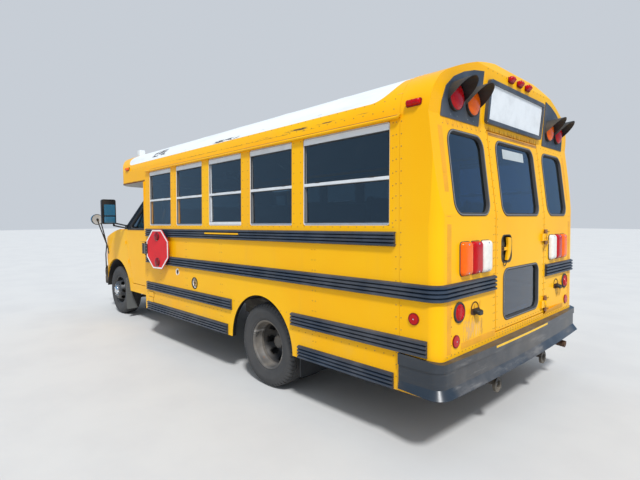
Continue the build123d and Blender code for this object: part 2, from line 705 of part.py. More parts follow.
def make_tyre(x, y, z):
    w = TYRE_W / 2
    bead = 80
    profile = [
        (RIM_R - 8, y - bead), (RIM_R + 8, y - bead), (RIM_R + 8, y - bead - 10), (RIM_R + 70, y - w),
        (TYRE_R - 48, y - w + 2), (TYRE_R - 14, y - w + 16), (TYRE_R, y - w + 38),
        (TYRE_R, y + w - 38), (TYRE_R - 14, y + w - 16), (TYRE_R - 48, y + w - 2),
        (RIM_R + 70, y + w), (RIM_R + 8, y + bead + 10), (RIM_R + 8, y + bead), (RIM_R - 8, y + bead),
    ]
    return turned(profile, x, z)


def rim_profile(y, sign):
    """Rim with a dished disc; the disc's flat lies 131 mm from the rim's middle, towards sign."""
    w = 88
    hub = y + sign * 131
    return [
        (RIM_R + 8, y - sign * w), (RIM_R + 8, y - sign * (w - 8)), (RIM_R - 8, y - sign * (w - 8)),
        (RIM_R - 8, y + sign * (w - 8)), (RIM_R + 8, y + sign * (w - 8)), (RIM_R + 8, y + sign * w),
        (RIM_R - 14, y + sign * w), (RIM_R - 18, y + sign * 30), (142, hub - sign * 4), (125, hub), (40, hub),
        (40, hub - sign * 8), (118, hub - sign * 8), (RIM_R - 30, y + sign * 8), (RIM_R - 14, y - sign * w),
    ]


def make_rim(x, y, z, sign):
    return turned(rim_profile(y, sign), x, z)


def make_rear_rims():
    hub_y = (REAR_OUTER_Y + REAR_INNER_Y) / 2
    rims = make_rim(0, REAR_OUTER_Y, TYRE_R, -1) + make_rim(0, REAR_INNER_Y, TYRE_R, 1)
    hub = turned([(40, hub_y - 6), (78, hub_y - 6), (78, hub_y + 85), (60, hub_y + 100), (0, hub_y + 100),
                  (0, hub_y + 84), (40, hub_y + 84)], 0, TYRE_R)
    return rims + hub


def make_rear_tyres():
    return make_tyre(0, REAR_OUTER_Y, TYRE_R) + make_tyre(0, REAR_INNER_Y, TYRE_R)


def make_front_tyre():
    return make_tyre(WHEELBASE, FRONT_WHEEL_Y, FRONT_AXLE_Z)


def make_front_rim():
    hub_y = FRONT_WHEEL_Y + 131
    hub = turned([(38, hub_y - 60), (66, hub_y - 60), (66, hub_y + 25), (50, hub_y + 36), (0, hub_y + 36),
                  (0, hub_y + 20), (38, hub_y + 20)], WHEELBASE, FRONT_AXLE_Z)
    return make_rim(WHEELBASE, FRONT_WHEEL_Y, FRONT_AXLE_Z, 1) + hub


# Under the floor

def make_engine():
    return solid(3745, 4430, -ENGINE_HALF_W, ENGINE_HALF_W, 540, 1130)


def make_fuel_tank():
    tank = fillet(solid(500, 1500, -200, 340, 320, 560).edges().filter_by(Axis.X), 50)
    return tank


EXHAUST_ROUTE = (
    (3450, -290, 415), (2900, -290, 410), (1700, -290, 415), (450, -290, 430), (200, -290, 540),
    (-350, -290, 540), (-750, -330, 430), (-1150, -700, 400), (-1450, -930, 350), (-1800, -930, 305),
)


def make_exhaust_pipe():
    path = FilletPolyline(*EXHAUST_ROUTE, radius=110)
    start = path.location_at(0).position
    pipe = sweep(Plane(origin=start, z_dir=path.tangent_at(0)) * Circle(30), path=path)
    muffler = rod_x(-270, 414, 82, 1850, 2450)
    return pipe + muffler


def make_body_floor():
    """Floor plate with cross sills and wheel housings."""
    inner = HALF_W - WALL - 0.5
    floor = solid(REAR_X + WALL + 30, BODY_FRONT_X - 1, -inner, inner, 760, 800)
    floor = floor - both_sides(solid(REAR_X, REAR_X + 90, inner - 40, inner + 1, 750, 810))
    for x in (-1500, -1000, 600, 1100, 1600, 2100):
        floor = floor + solid(x - 35, x + 35, -inner, inner, 681, 760)
    arch = rod_y(0, ARCH_Z, ARCH_R + 24, 640, inner) - rod_y(0, ARCH_Z, ARCH_R, 655, inner + 5)
    arch = arch & solid(-600, 600, 600, inner, 760, 1000)
    hole = rod_y(0, ARCH_Z, ARCH_R, 655, inner + 5)
    return floor - both_sides(hole) + both_sides(arch)


# Body fittings

RAIL_DEPTH = 22
RAIL_RIBS = 4


def rail_section(z0, z1, y):
    """Section of a rub rail in (y, z): a back plate with rounded ribs."""
    pitch = (z1 - z0) / RAIL_RIBS
    points = [(y, z0), (y + 6, z0)]
    for i in range(RAIL_RIBS):
        base = z0 + i * pitch
        points.append((y + RAIL_DEPTH, base + pitch * 0.22))
        points.append((y + RAIL_DEPTH, base + pitch * 0.72))
        points.append((y + 6, base + pitch))
    points.append((y, z1))
    return outline(*points)


RUB_RAILS = (
    # lower edge, upper edge, rear end, front end
    (1300, 1395, -1459, 2355),
    (973, 1077, -1486, 2357),
    (633, 737, 438, 2360),
    (633, 737, -1486, -438),
    (385, 488, 511, 2355),
    (385, 488, -1442, -520),
)


def make_rub_rails():
    """Straight rails on both side walls."""
    rails = []
    for z0, z1, x0, x1 in RUB_RAILS:
        rails.append(along_x(rail_section(z0, z1, HALF_W), x0, x1))
    return both_sides(joined(rails))


def make_corner_rails():
    """Rails on the rear wall's corners; the upper one runs round them to the tail lamps."""
    x_end = SEAM_X
    y_c = HALF_W - CORNER_R
    x_c = REAR_X + CORNER_R
    upper = rail_section(973, 1077, HALF_W)
    section = Plane(origin=(x_c, 0, 0), x_dir=(0, 1, 0), z_dir=(1, 0, 0)) * upper
    bend = revolve(section, axis=Axis((x_c, y_c, 0), (0, 0, 1)), revolution_arc=90)
    back = Plane(origin=(0, 485, 0), x_dir=(-1, 0, 0), z_dir=(0, 1, 0)) * rail_section(973, 1077, -REAR_X)
    left = along_x(upper, x_c, x_end) + bend + extrude(back, amount=y_c - 485)
    return both_sides(left + along_x(rail_section(633, 737, HALF_W), x_c, x_end))


REAR_BUMPER_Y = 1240     # outer face of its ends
REAR_BUMPER_X = -1800    # its rear face at the corners
REAR_BUMPER_R = 78
REAR_BUMPER_BOW = 32     # how far the rear face bows out in the middle
LIP_FLARE = 28
LIP_Z0 = 404
LIP_Z1 = 455
BUMPER_STEP_Z = 560      # lower edge of the raised band under its top


def rear_bumper_plan(grow, grow_front):
    """Plan of the filled rear bumper, grown outwards by grow, and by grow_front at its front ends."""
    half = REAR_BUMPER_Y + grow
    back = REAR_BUMPER_X - grow
    r = REAR_BUMPER_R + grow
    mid = r * (1 - cos(radians(45)))
    end = REAR_BUMPER_Y + grow_front
    return make_face(Curve() + [
        Polyline((back + r, -half), (SEAM_X - 1, -end), (SEAM_X - 1, end), (back + r, half)),
        ThreePointArc((back + r, half), (back + mid, half - mid), (back, half - r)),
        ThreePointArc((back, half - r), (back - REAR_BUMPER_BOW, 0), (back, r - half)),
        ThreePointArc((back, r - half), (back + mid, mid - half), (back + r, -half)),
    ])


def make_rear_bumper():
    """Wraparound bumper: a step along its top, a face set in under a raised band, a flared lower lip."""
    sheet = 14
    band = along_z(rear_bumper_plan(0, 0), BUMPER_STEP_Z, 640)
    face = along_z(rear_bumper_plan(-8, -8), LIP_Z1, BUMPER_STEP_Z)
    lip = loft([Plane.XY.offset(LIP_Z0) * rear_bumper_plan(LIP_FLARE, 0),
                Plane.XY.offset(LIP_Z1) * rear_bumper_plan(-8, -8)], ruled=True)
    hollow = along_z(rear_bumper_plan(-8 - sheet, -8 - sheet), LIP_Z0 - 1, 592)
    flare = loft([Plane.XY.offset(LIP_Z0 - 1) * rear_bumper_plan(LIP_FLARE - sheet, -8 - sheet),
                  Plane.XY.offset(LIP_Z1) * rear_bumper_plan(-8 - sheet, -8 - sheet)], ruled=True)
    top = outline((SEAM_X, 300), (SEAM_X, 631), (-1726, 621), (-1775, 612), (-1900, 606), (-1900, 300))
    bumper = (band + face + lip - hollow - flare) & along_y(top, -1400, 1400)
    return bumper - along_z(rear_plan(-1, SEAM_X + 10), 300, 700)


def make_warning_lamps():
    """Black panels beside the header with two hooded lamps each, and two lamps a side on the cap."""
    panel = rear_block(-6, SEAM_X - 1) - rear_block(0, SEAM_X + 50)
    edge = outline((585, 2100), (1070, 2100), (1045, 2290), (890, 2402), (577, 2508))
    left = panel & along_x(edge, REAR_X - 60, REAR_X + 140)
    for y, z in ((952, 2236), (716, 2240)):
        left = left + make_warning_lamp(REAR_X + 66, y, z, -1)
    front = make_warning_lamp(3330, 640, 2300, 1) + make_warning_lamp(3330, 860, 2290, 1)
    return both_sides(left - rear_block(0)) + both_sides(front - cap_block(0))


LAMP_R = 78
VISOR = 97               # how far a lamp's visor stands out past its bowl


def make_warning_lamp(x, y, z, way):
    """A round lamp under a visor cut off on a slant, looking along way."""
    depth = 52 if way < 0 else 90
    x0, x1 = sorted((x, x + way * depth))
    bowl = rod_x(y, z, LAMP_R, x0, x1)
    tip = x + way * (depth + VISOR)
    side = outline((x, z + LAMP_R + 1), (x, z + LAMP_R + 8), (tip, z + 97), (tip, z + 90))
    upright = Plane(origin=(0, y, 0), x_dir=(1, 0, 0), z_dir=(0, -1, 0))
    hood = revolve(upright * side, axis=Axis((0, y, z), (1, 0, 0)))
    near = x + way * 10
    far = tip + way * 10
    cut = outline((near, z - 130), (near, z - 42), (far, z + 62), (far, z - 130))
    return bowl + (hood - along_y(cut, y - 130, y + 130))


def make_signs():
    """Blank header signs: one with a raised frame at the rear, one flat board on the cap."""
    box = rear_block(-26, SEAM_X - 1) - rear_block(0, SEAM_X + 50)
    box = box & solid(REAR_X - 100, REAR_X + 140, -528, 528, 2153, 2485)
    face = rear_block(-40, SEAM_X - 1) - rear_block(-14, SEAM_X + 50)
    box = box - (face & solid(REAR_X - 120, REAR_X + 140, -470, 470, 2205, 2433))
    board = cap_block(-22) - cap_block(0)
    return box + (board & solid(3000, 3600, -500, 500, 2220, 2430))


def make_tail_lamps():
    """Three lens blocks a side, then the round lamps and reflectors."""
    left = []
    for y0, y1 in ((840, 972), (702, 836), (566, 698)):
        left.append(along_x(rounded(y0, y1, 1112, 1326, 16), REAR_X - 16, REAR_X - 0.2))
    left.append(rod_x(980, 888, 66, REAR_X - 8, REAR_X - 0.2))
    left.append(rod_x(1018, 712, 40, REAR_X - 8, REAR_X - 0.2))
    left.append(solid(REAR_X - 45, REAR_X - 0.2, 745, 795, 856, 886))
    return both_sides(joined(left))


def make_lamps():
    return make_tail_lamps() + make_marker_lamps()


def make_marker_lamps():
    """Clearance lamps on roof and cap, side markers and side reflectors."""
    lamps = []
    for y in (-155, 0, 155):
        lamps.append(solid(REAR_X + 5, REAR_X + 95, y - 38, y + 38, 2528, 2562) - rear_block(-0.3, SEAM_X))
        lamps.append(Pos(CAP_FRONT_X - 330, y, 2530) * Box(70, 76, 60) - cap_block(-0.3))
    for side in (1, -1):
        lamps.append(Pos(-1588, side * 1212, 2174) * Box(110, 60, 40) - rear_block(-0.3, SEAM_X))
        lamps.append(Pos(CAP_FRONT_X - 480, side * 1205, 2190) * Box(110, 60, 40) - cap_block(-0.3))
        y0, y1 = sorted((side * (HALF_W + 0.2), side * (HALF_W + 12)))
        lamps.append(rod_y(-1596, 860, 38, y0, y1))
    return joined(lamps)


# Doors, hatches and moving fittings

def make_entrance_door_leaf(x0, x1):
    """One leaf of the entrance: a framed panel with an upper and a lower window."""
    leaf = solid(x0, x1, -HALF_W, -HALF_W + WALL, ENTRY_Z0, ENTRY_Z1 - 60)
    leaf = leaf - solid(x0 + 60, x1 - 60, -HALF_W - 10, -HALF_W + 60, 1130, ENTRY_Z1 - 130)
    return leaf - solid(x0 + 60, x1 - 60, -HALF_W - 10, -HALF_W + 60, ENTRY_Z0 + 150, 1060)


def make_entrance_front():
    return make_entrance_door_leaf(ENTRY_MID_X + ENTRY_GAP / 2, ENTRY_X1)


def make_entrance_rear():
    return make_entrance_door_leaf(ENTRY_X0, ENTRY_MID_X - ENTRY_GAP / 2)


def make_stop_arm():
    """Octagonal blade with two lamps on an arm, leaning in at rest."""
    half = STOP_SIZE / 2
    octagon = RegularPolygon(half, 8, major_radius=False, rotation=22.5)
    blade = along_y(Pos(-40 - half, 0) * octagon, -5, 5)
    for dz in (-150, 150):
        blade = blade + rod_y(-40 - half, dz, 48, -24, 24)
    arm = solid(-60, -6, -4, 4, -60, 60) + rod_z(0, 0, 12, -65, 65)
    turned_blade = Rot(0, 0, STOP_STOW) * (blade + arm)
    return Pos(STOP_HINGE_X, STOP_HINGE_Y, STOP_Z) * turned_blade


def make_stop_arm_bracket():
    """Housing that carries the stop arm's hinge pin between two ears."""
    box = solid(STOP_HINGE_X + 18, STOP_HINGE_X + 130, HALF_W - 5, HALF_W + 88, STOP_Z - 68, STOP_Z + 68)
    for end in (-1, 1):
        z = STOP_Z + end * 72
        box = box + solid(STOP_HINGE_X - 16, STOP_HINGE_X + 130, HALF_W - 5, STOP_HINGE_Y + 16, z - 6, z + 6)
    return box


# Inside

DRIVER_Y = 590
SEAT_ROWS = 5
SEAT_PITCH = 720
FIRST_SEAT_X = 1950


def bench_outline(x, z):
    """Side view of a bench: cushion and high back."""
    return outline(
        (x + 200, z + 330), (x + 200, z + 440), (x - 150, z + 440), (x - 225, z + 860), (x - 290, z + 860),
        (x - 235, z + 330),
    )


def make_passenger_seats():
    benches = []
    for i in range(SEAT_ROWS):
        x = FIRST_SEAT_X - i * SEAT_PITCH
        bench = along_y(bench_outline(x, 800), 190, 1160)
        legs = solid(x - 20, x + 20, 220, 260, 800.5, 1131)
        benches.append(bench + legs)
    return both_sides(joined(benches))


def make_driver_seat():
    seat = along_y(bench_outline(2900, 640), DRIVER_Y - 230, DRIVER_Y + 230)
    return seat + solid(2780, 3020, DRIVER_Y - 130, DRIVER_Y + 130, 600.5, 975)


def make_seats():
    return make_passenger_seats() + make_driver_seat()


def make_dashboard():
    """Dashboard across the cab with the steering column and wheel."""
    dash = along_y(outline((3420, 1000), (3380, 1180), (3500, 1330), (3640, 1330), (3640, 1000)), -900, 900)
    column = bar((3460, DRIVER_Y, 1080), (3230, DRIVER_Y, 1180), 28)
    tilt = degrees(atan2(100, -230))
    place = Pos(3220, DRIVER_Y, 1184) * Rot(0, 90 - (180 - tilt), 0)
    wheel = place * Torus(190, 14)
    spokes = place * (Box(30, 380, 16) + Cylinder(45, 40))
    return dash + column + wheel + spokes


def make_mirrors():
    """Rectangular mirrors on arms and round crossview mirrors on stands, one pair a side."""
    case = fillet(solid(3660, 3740, 1127, 1325, 1457, 1817).edges().filter_by(Axis.X), 22)
    arms = bar((3700, 1150, 1475), (3665, 980, 1425), 11) + bar((3700, 1150, 1435), (3665, 980, 1390), 11)
    post = bar((3700, 1150, 1425), (3700, 1150, 1480), 13)
    left = case + arms + post - cab_side_block(0)
    ball = Pos(4400, 1172, 1530) * Sphere(84) & solid(4360, 4500, 1000, 1300, 1400, 1650)
    stand = bar((4400, 1172, 1480), (4400, 1030, 1130), 10) + bar((4400, 1030, 1130), (4395, 990, 1000), 10)
    return both_sides(left) + both_sides(ball + stand - front_block(0))


def make_mud_flaps():
    """Slanted flaps behind the front wheels and square ones behind the rear wheels."""
    flap = outline((870, 181), (1026, 181), (1034, 640), (1000, 668), (985, 668), (966, 449))
    front = along_x(flap, 3592, 3600)
    rear = solid(-470, -460, 680, 1160, 200, 680)
    return both_sides(front) + both_sides(rear)


def export(name, piece):
    """Write one node, tilted about the rear axle and moved so that the origin is under the middle."""
    stance = Pos(-CENTRE_X, 0, TYRE_R) * Rot(0, RAKE, 0) * Pos(0, 0, -TYRE_R)
    export_step(stance * piece, f"parts/{name}.step")


FIXED_NODES = (
    ("frame_rails", make_frame_rails),
    ("crossmembers", make_crossmembers),
    ("rear_axle", make_rear_axle),
    ("front_suspension", make_front_suspension),
    ("engine", make_engine),
    ("fuel_tank", make_fuel_tank),
    ("exhaust_pipe", make_exhaust_pipe),
    ("body_floor", make_body_floor),
    ("left_side_wall", make_left_side_wall),
    ("right_side_wall", make_right_side_wall),
    ("rear_wall", make_rear_wall),
    ("roof", make_roof),
    ("front_cap", make_front_cap),
    ("side_windows", make_side_windows),
    ("body_glass", make_body_glass),
    ("rub_rails", make_rub_rails),
    ("corner_rails", make_corner_rails),
    ("rear_bumper", make_rear_bumper),
    ("warning_lamps", make_warning_lamps),
    ("signs", make_signs),
    ("lamps", make_lamps),
    ("cab_shell", make_cab_shell),
    ("cab_floor", make_cab_floor),
    ("front_fenders", make_front_fenders),
    ("grille", make_grille),
    ("headlamps", make_headlamps),
    ("front_bumper", make_front_bumper),
    ("dashboard", make_dashboard),
    ("seats", make_seats),
    ("mirrors", make_mirrors),
    ("mud_flaps", make_mud_flaps),
    ("rear_door", make_rear_door),
    ("rear_door_glass", make_rear_door_glass),
    ("driver_door", make_driver_door),
    ("driver_door_glass", make_driver_door_glass),
    ("entrance_door_front", make_entrance_front),
    ("entrance_door_rear", make_entrance_rear),
    ("hood", make_hood),
    ("stop_arm", make_stop_arm),
)

# Made for the left side and mirrored for the right
WHEEL_NODES = (
    ("{}_knuckle", make_knuckle),
    ("front_{}_rim", make_front_rim),
    ("front_{}_tyre", make_front_tyre),
    ("rear_{}_rims", make_rear_rims),
    ("rear_{}_tyres", make_rear_tyres),
)

for name, make in FIXED_NODES:
    export(name, make())
for name, make in WHEEL_NODES:
    piece = make()
    export(name.format("left"), piece)
    export(name.format("right"), mirrored(piece))
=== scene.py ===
import json
import math
import random

import bpy
import bmesh
from mathutils import Matrix, Vector
from mathutils.bvhtree import BVHTree


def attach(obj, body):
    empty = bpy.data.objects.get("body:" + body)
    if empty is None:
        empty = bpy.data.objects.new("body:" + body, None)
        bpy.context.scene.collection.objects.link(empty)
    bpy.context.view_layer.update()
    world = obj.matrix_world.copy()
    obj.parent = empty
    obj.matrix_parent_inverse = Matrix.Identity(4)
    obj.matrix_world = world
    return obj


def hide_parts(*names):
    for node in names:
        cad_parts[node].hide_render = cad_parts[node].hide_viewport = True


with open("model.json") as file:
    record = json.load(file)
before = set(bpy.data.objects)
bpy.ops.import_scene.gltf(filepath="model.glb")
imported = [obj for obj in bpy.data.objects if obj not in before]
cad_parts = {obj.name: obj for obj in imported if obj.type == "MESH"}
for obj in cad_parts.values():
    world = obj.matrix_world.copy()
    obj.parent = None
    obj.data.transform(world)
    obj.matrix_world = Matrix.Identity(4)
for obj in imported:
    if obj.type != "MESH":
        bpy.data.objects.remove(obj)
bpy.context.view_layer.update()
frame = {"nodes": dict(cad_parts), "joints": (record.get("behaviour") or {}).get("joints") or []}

random.seed(7)

# Places are in millimetres of the level bus: from the rear axle, with Z up from the ground.
# LEVEL tilts them nose down by the rake and turns them into metres of the frame.
AXLE_X = next(j["pos_m"][0] for j in frame["joints"] if j["name"] == "rear_left_wheels_spin")
RAKE = math.radians(0.7)
HALF_W = 1219
REAR_X = -1765
WHEELBASE = 4039
TYRE_R = 371
FRONT_AXLE_Z = TYRE_R + WHEELBASE * math.tan(RAKE)
LEVEL = (Matrix.Translation((AXLE_X, 0, TYRE_R / 1000)) @ Matrix.Rotation(RAKE, 4, "Y")
         @ Matrix.Diagonal((0.001, 0.001, 0.001, 1)) @ Matrix.Translation((0, 0, -TYRE_R)))
UNLEVEL = LEVEL.inverted()


# Materials: places in them are in metres of the level bus

class Shade:
    """A procedural material: one principled shader and the nodes that feed it."""

    SOCKETS = {"metallic": "Metallic", "coat": "Coat Weight", "transmission": "Transmission Weight",
               "sheen": "Sheen Weight", "specular": "Specular IOR Level", "ior": "IOR"}

    def __init__(self, name, color, rough, **looks):
        self.mat = bpy.data.materials.new(name)
        self.mat.use_nodes = True
        self.tree = self.mat.node_tree
        self.shader = self.tree.nodes["Principled BSDF"]
        hub = Vector((AXLE_X, 0, TYRE_R / 1000))
        shift = Vector((0, 0, TYRE_R / 1000)) - Matrix.Rotation(-RAKE, 3, "Y") @ hub
        place = self.node("TexCoord", "Object", {})
        self.where = self.node("Mapping", 0, {"Vector": place, "Rotation": (0, -RAKE, 0), "Location": shift})
        self.color = color
        self.rough = rough
        self.height = None
        self.shader.inputs["Coat Roughness"].default_value = 0.12
        for look, value in looks.items():
            self.shader.inputs[self.SOCKETS[look]].default_value = value

    def feed(self, socket, value):
        if isinstance(value, bpy.types.NodeSocket):
            self.tree.links.new(value, socket)
        else:
            socket.default_value = (*value, 1.0) if socket.type == "RGBA" else value

    def node(self, kind, output, inputs, **settings):
        """Adds a node with its settings and inputs, and gives one of its outputs."""
        made = self.tree.nodes.new("ShaderNode" + kind)
        for name, value in settings.items():
            setattr(made, name, value)
        for socket, value in inputs.items():
            self.feed(made.inputs[socket], value)
        return made.outputs[output]

    def math(self, kind, a, b=0.0):
        return self.node("Math", 0, {0: a, 1: b}, operation=kind)

    def times(self, *values):
        out = values[0]
        for value in values[1:]:
            out = self.math("MULTIPLY", out, value)
        return out

    def less(self, a, b):
        return self.math("SUBTRACT", a, b)

    def axis(self, letter):
        return self.node("SeparateXYZ", letter, {0: self.where})

    def off_axis(self, letter):
        return self.math("ABSOLUTE", self.axis(letter))

    def noise(self, scale, detail=3.0, stretch=(1, 1, 1), rough=0.55):
        place = self.node("Mapping", 0, {"Vector": self.where, "Scale": stretch})
        return self.node("TexNoise", "Fac", {"Vector": place, "Scale": scale, "Detail": detail, "Roughness": rough})

    def cells(self, scale):
        return self.node("TexVoronoi", "Distance", {"Vector": self.where, "Scale": scale})

    def ramp(self, value, low, high, to_low=0.0, to_high=1.0):
        inputs = {"Value": value, "From Min": low, "From Max": high, "To Min": to_low, "To Max": to_high}
        return self.node("MapRange", "Result", inputs, interpolation_type="SMOOTHSTEP")

    def patches(self, scale, detail, low, high, strength=1.0, stretch=(1, 1, 1), rough=0.55):
        """Cloudy patches: noise between two levels, spread from 0 to a strength."""
        return self.ramp(self.noise(scale, detail, stretch, rough), low, high, 0, strength)

    def span(self, letter, low, high, soft):
        """1 between two places on an axis, with soft ends."""
        value = self.axis(letter)
        return self.times(self.ramp(value, low - soft, low + soft), self.ramp(value, high + soft, high - soft))

    def cover(self, share, color, rough=None):
        """Lays another colour over the material where share is high."""
        self.color = self.node("Mix", 2, {0: share, 6: self.color, 7: color}, data_type="RGBA")
        if rough is not None:
            self.rough = self.node("Mix", 0, {0: share, 2: self.rough, 3: rough})

    def down(self):
        """How far the surface looks down, from -1 to 1."""
        normal = self.node("NewGeometry", "True Normal", {})
        return self.times(self.node("SeparateXYZ", 2, {0: normal}), -1.0)

    def relief(self, height, depth):
        """Adds height, in metres of depth, to the bump."""
        raised = self.times(height, depth)
        self.height = raised if self.height is None else self.math("ADD", self.height, raised)

    def done(self):
        self.feed(self.shader.inputs["Base Color"], self.color)
        self.feed(self.shader.inputs["Roughness"], self.rough)
        if self.height is not None:
            bump = self.node("Bump", 0, {"Strength": 1.0, "Distance": 1.0, "Height": self.height})
            self.feed(self.shader.inputs["Normal"], bump)
        return self.mat


def tone(color, share, lift=0.0):
    return tuple(min(1, c * share + lift) for c in color)


DUST = (0.36, 0.29, 0.2)
RUST = (0.17, 0.07, 0.025)
CEILING = (0.42, 0.43, 0.42)
BROWN_STAIN = (0.26, 0.09, 0.03)
PALE_STAIN = (0.42, 0.2, 0.09)

# Rust, dirt and a dark band on the rear wall: left end, right end, lower edge, upper edge, colour, strength
REAR_STAINS = (
    (0.775, 0.922, 0.690, 0.812, PALE_STAIN, 0.85),
    (0.655, 0.700, 0.700, 0.830, PALE_STAIN, 0.8),
    (0.690, 0.860, 0.800, 0.925, (0.55, 0.2, 0.02), 0.75),
    (0.690, 0.920, 0.700, 0.812, (0.8, 0.48, 0.2), 0.75),
    (-0.900, -0.760, 0.770, 0.905, (0.2, 0.06, 0.02), 0.85),
    (-0.540, -0.420, 0.640, 0.780, BROWN_STAIN, 0.8),
    (-0.540, -0.420, 1.190, 1.350, BROWN_STAIN, 0.8),
    # A dark brown band across the door's top, under the header's overhang
    (-0.470, 0.470, 2.085, 2.118, (0.3, 0.1, 0.03), 0.85),
    (0.560, 1.050, 2.050, 2.095, (0.6, 0.25, 0.05), 0.5),
)
# Cracks in the caulk of the roof's seams: heights and stations
ROOF_CRACKS = (
    (2.170, 2.180, -0.12, 0.05), (2.172, 2.188, -0.62, -0.38), (2.176, 2.186, -0.98, -0.75),
    (2.180, 2.186, -1.2, -1.15), (2.242, 2.264, 0.35, 0.78), (2.272, 2.350, 1.92, 2.25),
    (2.160, 2.163, -0.7, 1.5),
)


def white_zone(shade):
    """1 on the white top of the roof, a long field with rounded corners along the skin."""
    climb = shade.math("ARCTAN2", shade.less(shade.axis("Z"), 2.126), shade.less(shade.off_axis("Y"), 0.927))
    edge = shade.less(0.19, shade.times(shade.less(climb, 0.415), 0.28))
    beyond = None
    for over in (shade.less(-1.23, shade.axis("X")), shade.less(shade.axis("X"), 2.86), edge):
        over = shade.math("MAXIMUM", over, 0.0)
        square = shade.times(over, over)
        beyond = square if beyond is None else shade.math("ADD", beyond, square)
    return shade.ramp(shade.math("SQRT", beyond), 0.193, 0.187)


def roof_white(shade):
    """The white field with its grime and the cracks of the seams."""
    white = white_zone(shade)
    shade.cover(white, (0.8, 0.83, 0.84), 0.45)
    shade.cover(shade.times(shade.patches(5, 6, 0.5, 0.85, 0.35, (0.3, 2.0, 1)), white), (0.42, 0.4, 0.36))
    for z0, z1, x0, x1 in ROOF_CRACKS:
        line = shade.times(shade.span("Z", z0, z1, 0.003), shade.span("X", x0, x1, 0.05))
        broken = shade.patches(16, 6, 0.46, 0.53, 0.95, (0.6, 1, 4), 0.75)
        shade.cover(shade.times(line, broken), (0.04, 0.036, 0.045), 0.8)


def stain(shade):
    """Rust and dirt that has run from fittings on the rear wall, and a dark brown band under the header."""
    behind = shade.ramp(shade.axis("X"), -1.60, -1.64)
    grain = shade.patches(38, 6, 0.44, 0.6, 1.0, (1, 1, 0.3), 0.7)
    for y0, y1, z0, z1, color, strength in REAR_STAINS:
        where = shade.times(shade.span("Y", y0, y1, 0.012), shade.span("Z", z0, z1, 0.02))
        shade.cover(shade.times(where, behind, grain, strength), color, 0.8)


def weather(shade, low_dust):
    """Dust low down, streaks that run down, faint waves in the sheet and a fine skin."""
    low = shade.ramp(shade.axis("Z"), 0.8, 0.3)
    shade.cover(shade.times(low, shade.patches(3.5, 5, 0.4, 0.75), low_dust, 0.6), DUST, 0.75)
    shade.cover(shade.patches(7.0, 4, 0.5, 0.8, 0.05, (1, 1, 0.1)), DUST, 0.6)
    shade.relief(shade.noise(4.5, 1.0), 0.0009)
    shade.relief(shade.noise(160, 2), 0.00004)


def cap_lip(shade):
    """Rust along the front cap's lower edge and its bare underside."""
    ragged = shade.math("ADD", shade.axis("Z"), shade.times(shade.noise(9, 5), 0.03))
    shade.cover(shade.ramp(ragged, 2.03, 2.015), (0.14, 0.05, 0.02), 0.7)
    shade.cover(shade.ramp(shade.down(), 0.7, 0.8), (0.62, 0.62, 0.6), 0.7)


def black_top(shade):
    """Black round the cab's windows, above its belt and ahead of the body."""
    above = shade.times(shade.ramp(shade.axis("Z"), 1.375, 1.377), shade.ramp(shade.axis("X"), 2.432, 2.434))
    shade.cover(above, (0.012, 0.012, 0.013), 0.4)


def wall_inside_and_arch_shade(shade):
    """Grey inside of the side walls, and near-black painted shade on the inner faces round the rear wheels' arches."""
    across = shade.off_axis("Y")
    behind = shade.ramp(shade.axis("X"), 2.4, 2.39)
    shade.cover(shade.times(behind, shade.ramp(across, 1.193, 1.191)), CEILING, 0.6)
    # Painted shade: inner faces near the edges of the rear arches turn near-black.
    up = shade.less(shade.axis("Z"), 0.382)
    squares = shade.math("ADD", shade.times(shade.axis("X"), shade.axis("X")), shade.times(up, up))
    near = shade.ramp(shade.math("SQRT", squares), 0.47, 0.46)
    shade.cover(shade.times(shade.ramp(across, 1.2155, 1.2145), near), (0.01, 0.01, 0.01), 0.8)


def body_paint(name, before=(), after=(), low_dust=0.5):
    """School bus yellow, faded in patches, with covers laid on before and after the weather."""
    shade = Shade(name, (0.94, 0.455, 0.002), 0.34, coat=0.03, specular=0.14)
    shade.cover(shade.patches(0.9, 4, 0.35, 0.7), (0.95, 0.505, 0.004))
    for lay in before:
        lay(shade)
    weather(shade, low_dust)
    for lay in after:
        lay(shade)
    if roof_white in before:
        shade.cover(shade.ramp(shade.down(), 0.1, 0.2), CEILING, 0.6)
    return shade.done()


def dark_paint(name, color, rough, dust, scuffs=0.0, ends=False):
    shade = Shade(name, color, rough)
    shade.cover(shade.patches(6, 5, 0.4, 0.75, 0.5), tone(color, 1.9, 0.01))
    if scuffs:
        shade.cover(shade.patches(9, 6, 0.52, 0.68, scuffs, (0.25, 0.25, 2.2), 0.7), (0.33, 0.32, 0.31), 0.6)
        shade.cover(shade.patches(14, 6, 0.62, 0.72, scuffs * 0.8, (1, 1, 0.6), 0.7), (0.2, 0.09, 0.04), 0.85)
    shade.cover(shade.patches(3, 5, 0.35, 0.75, dust), DUST, 0.85)
    if ends:
        # Painted shade: the bumper's wrap-round ends darker and bluer.
        shade.cover(shade.ramp(shade.off_axis("Y"), 1.06, 1.14, 0, 0.8), (0.013, 0.022, 0.034), 0.3)
    shade.relief(shade.noise(120, 3), 0.00015)
    return shade.done()


def tinted_glass():
    """Dark glass with a painted blue reflection of the sky on the rear panes, and a film of dirt."""
    shade = Shade("tinted_glass", (0.13, 0.17, 0.18), 0.02, transmission=1.0, ior=1.75)
    shade.cover(shade.ramp(shade.axis("X"), -1.5, -1.6, 0, 0.85), (0.03, 0.14, 0.36), 0.03)
    shade.cover(shade.patches(4, 6, 0.45, 0.8, 0.25), (0.3, 0.3, 0.28), 0.25)
    return shade.done()


def fluted_glass():
    shade = Shade("headlamp_glass", (0.93, 0.95, 0.95), 0.03, transmission=1.0)
    shade.relief(shade.math("SINE", shade.times(shade.axis("Y"), 420.0)), 0.0006)
    return shade.done()


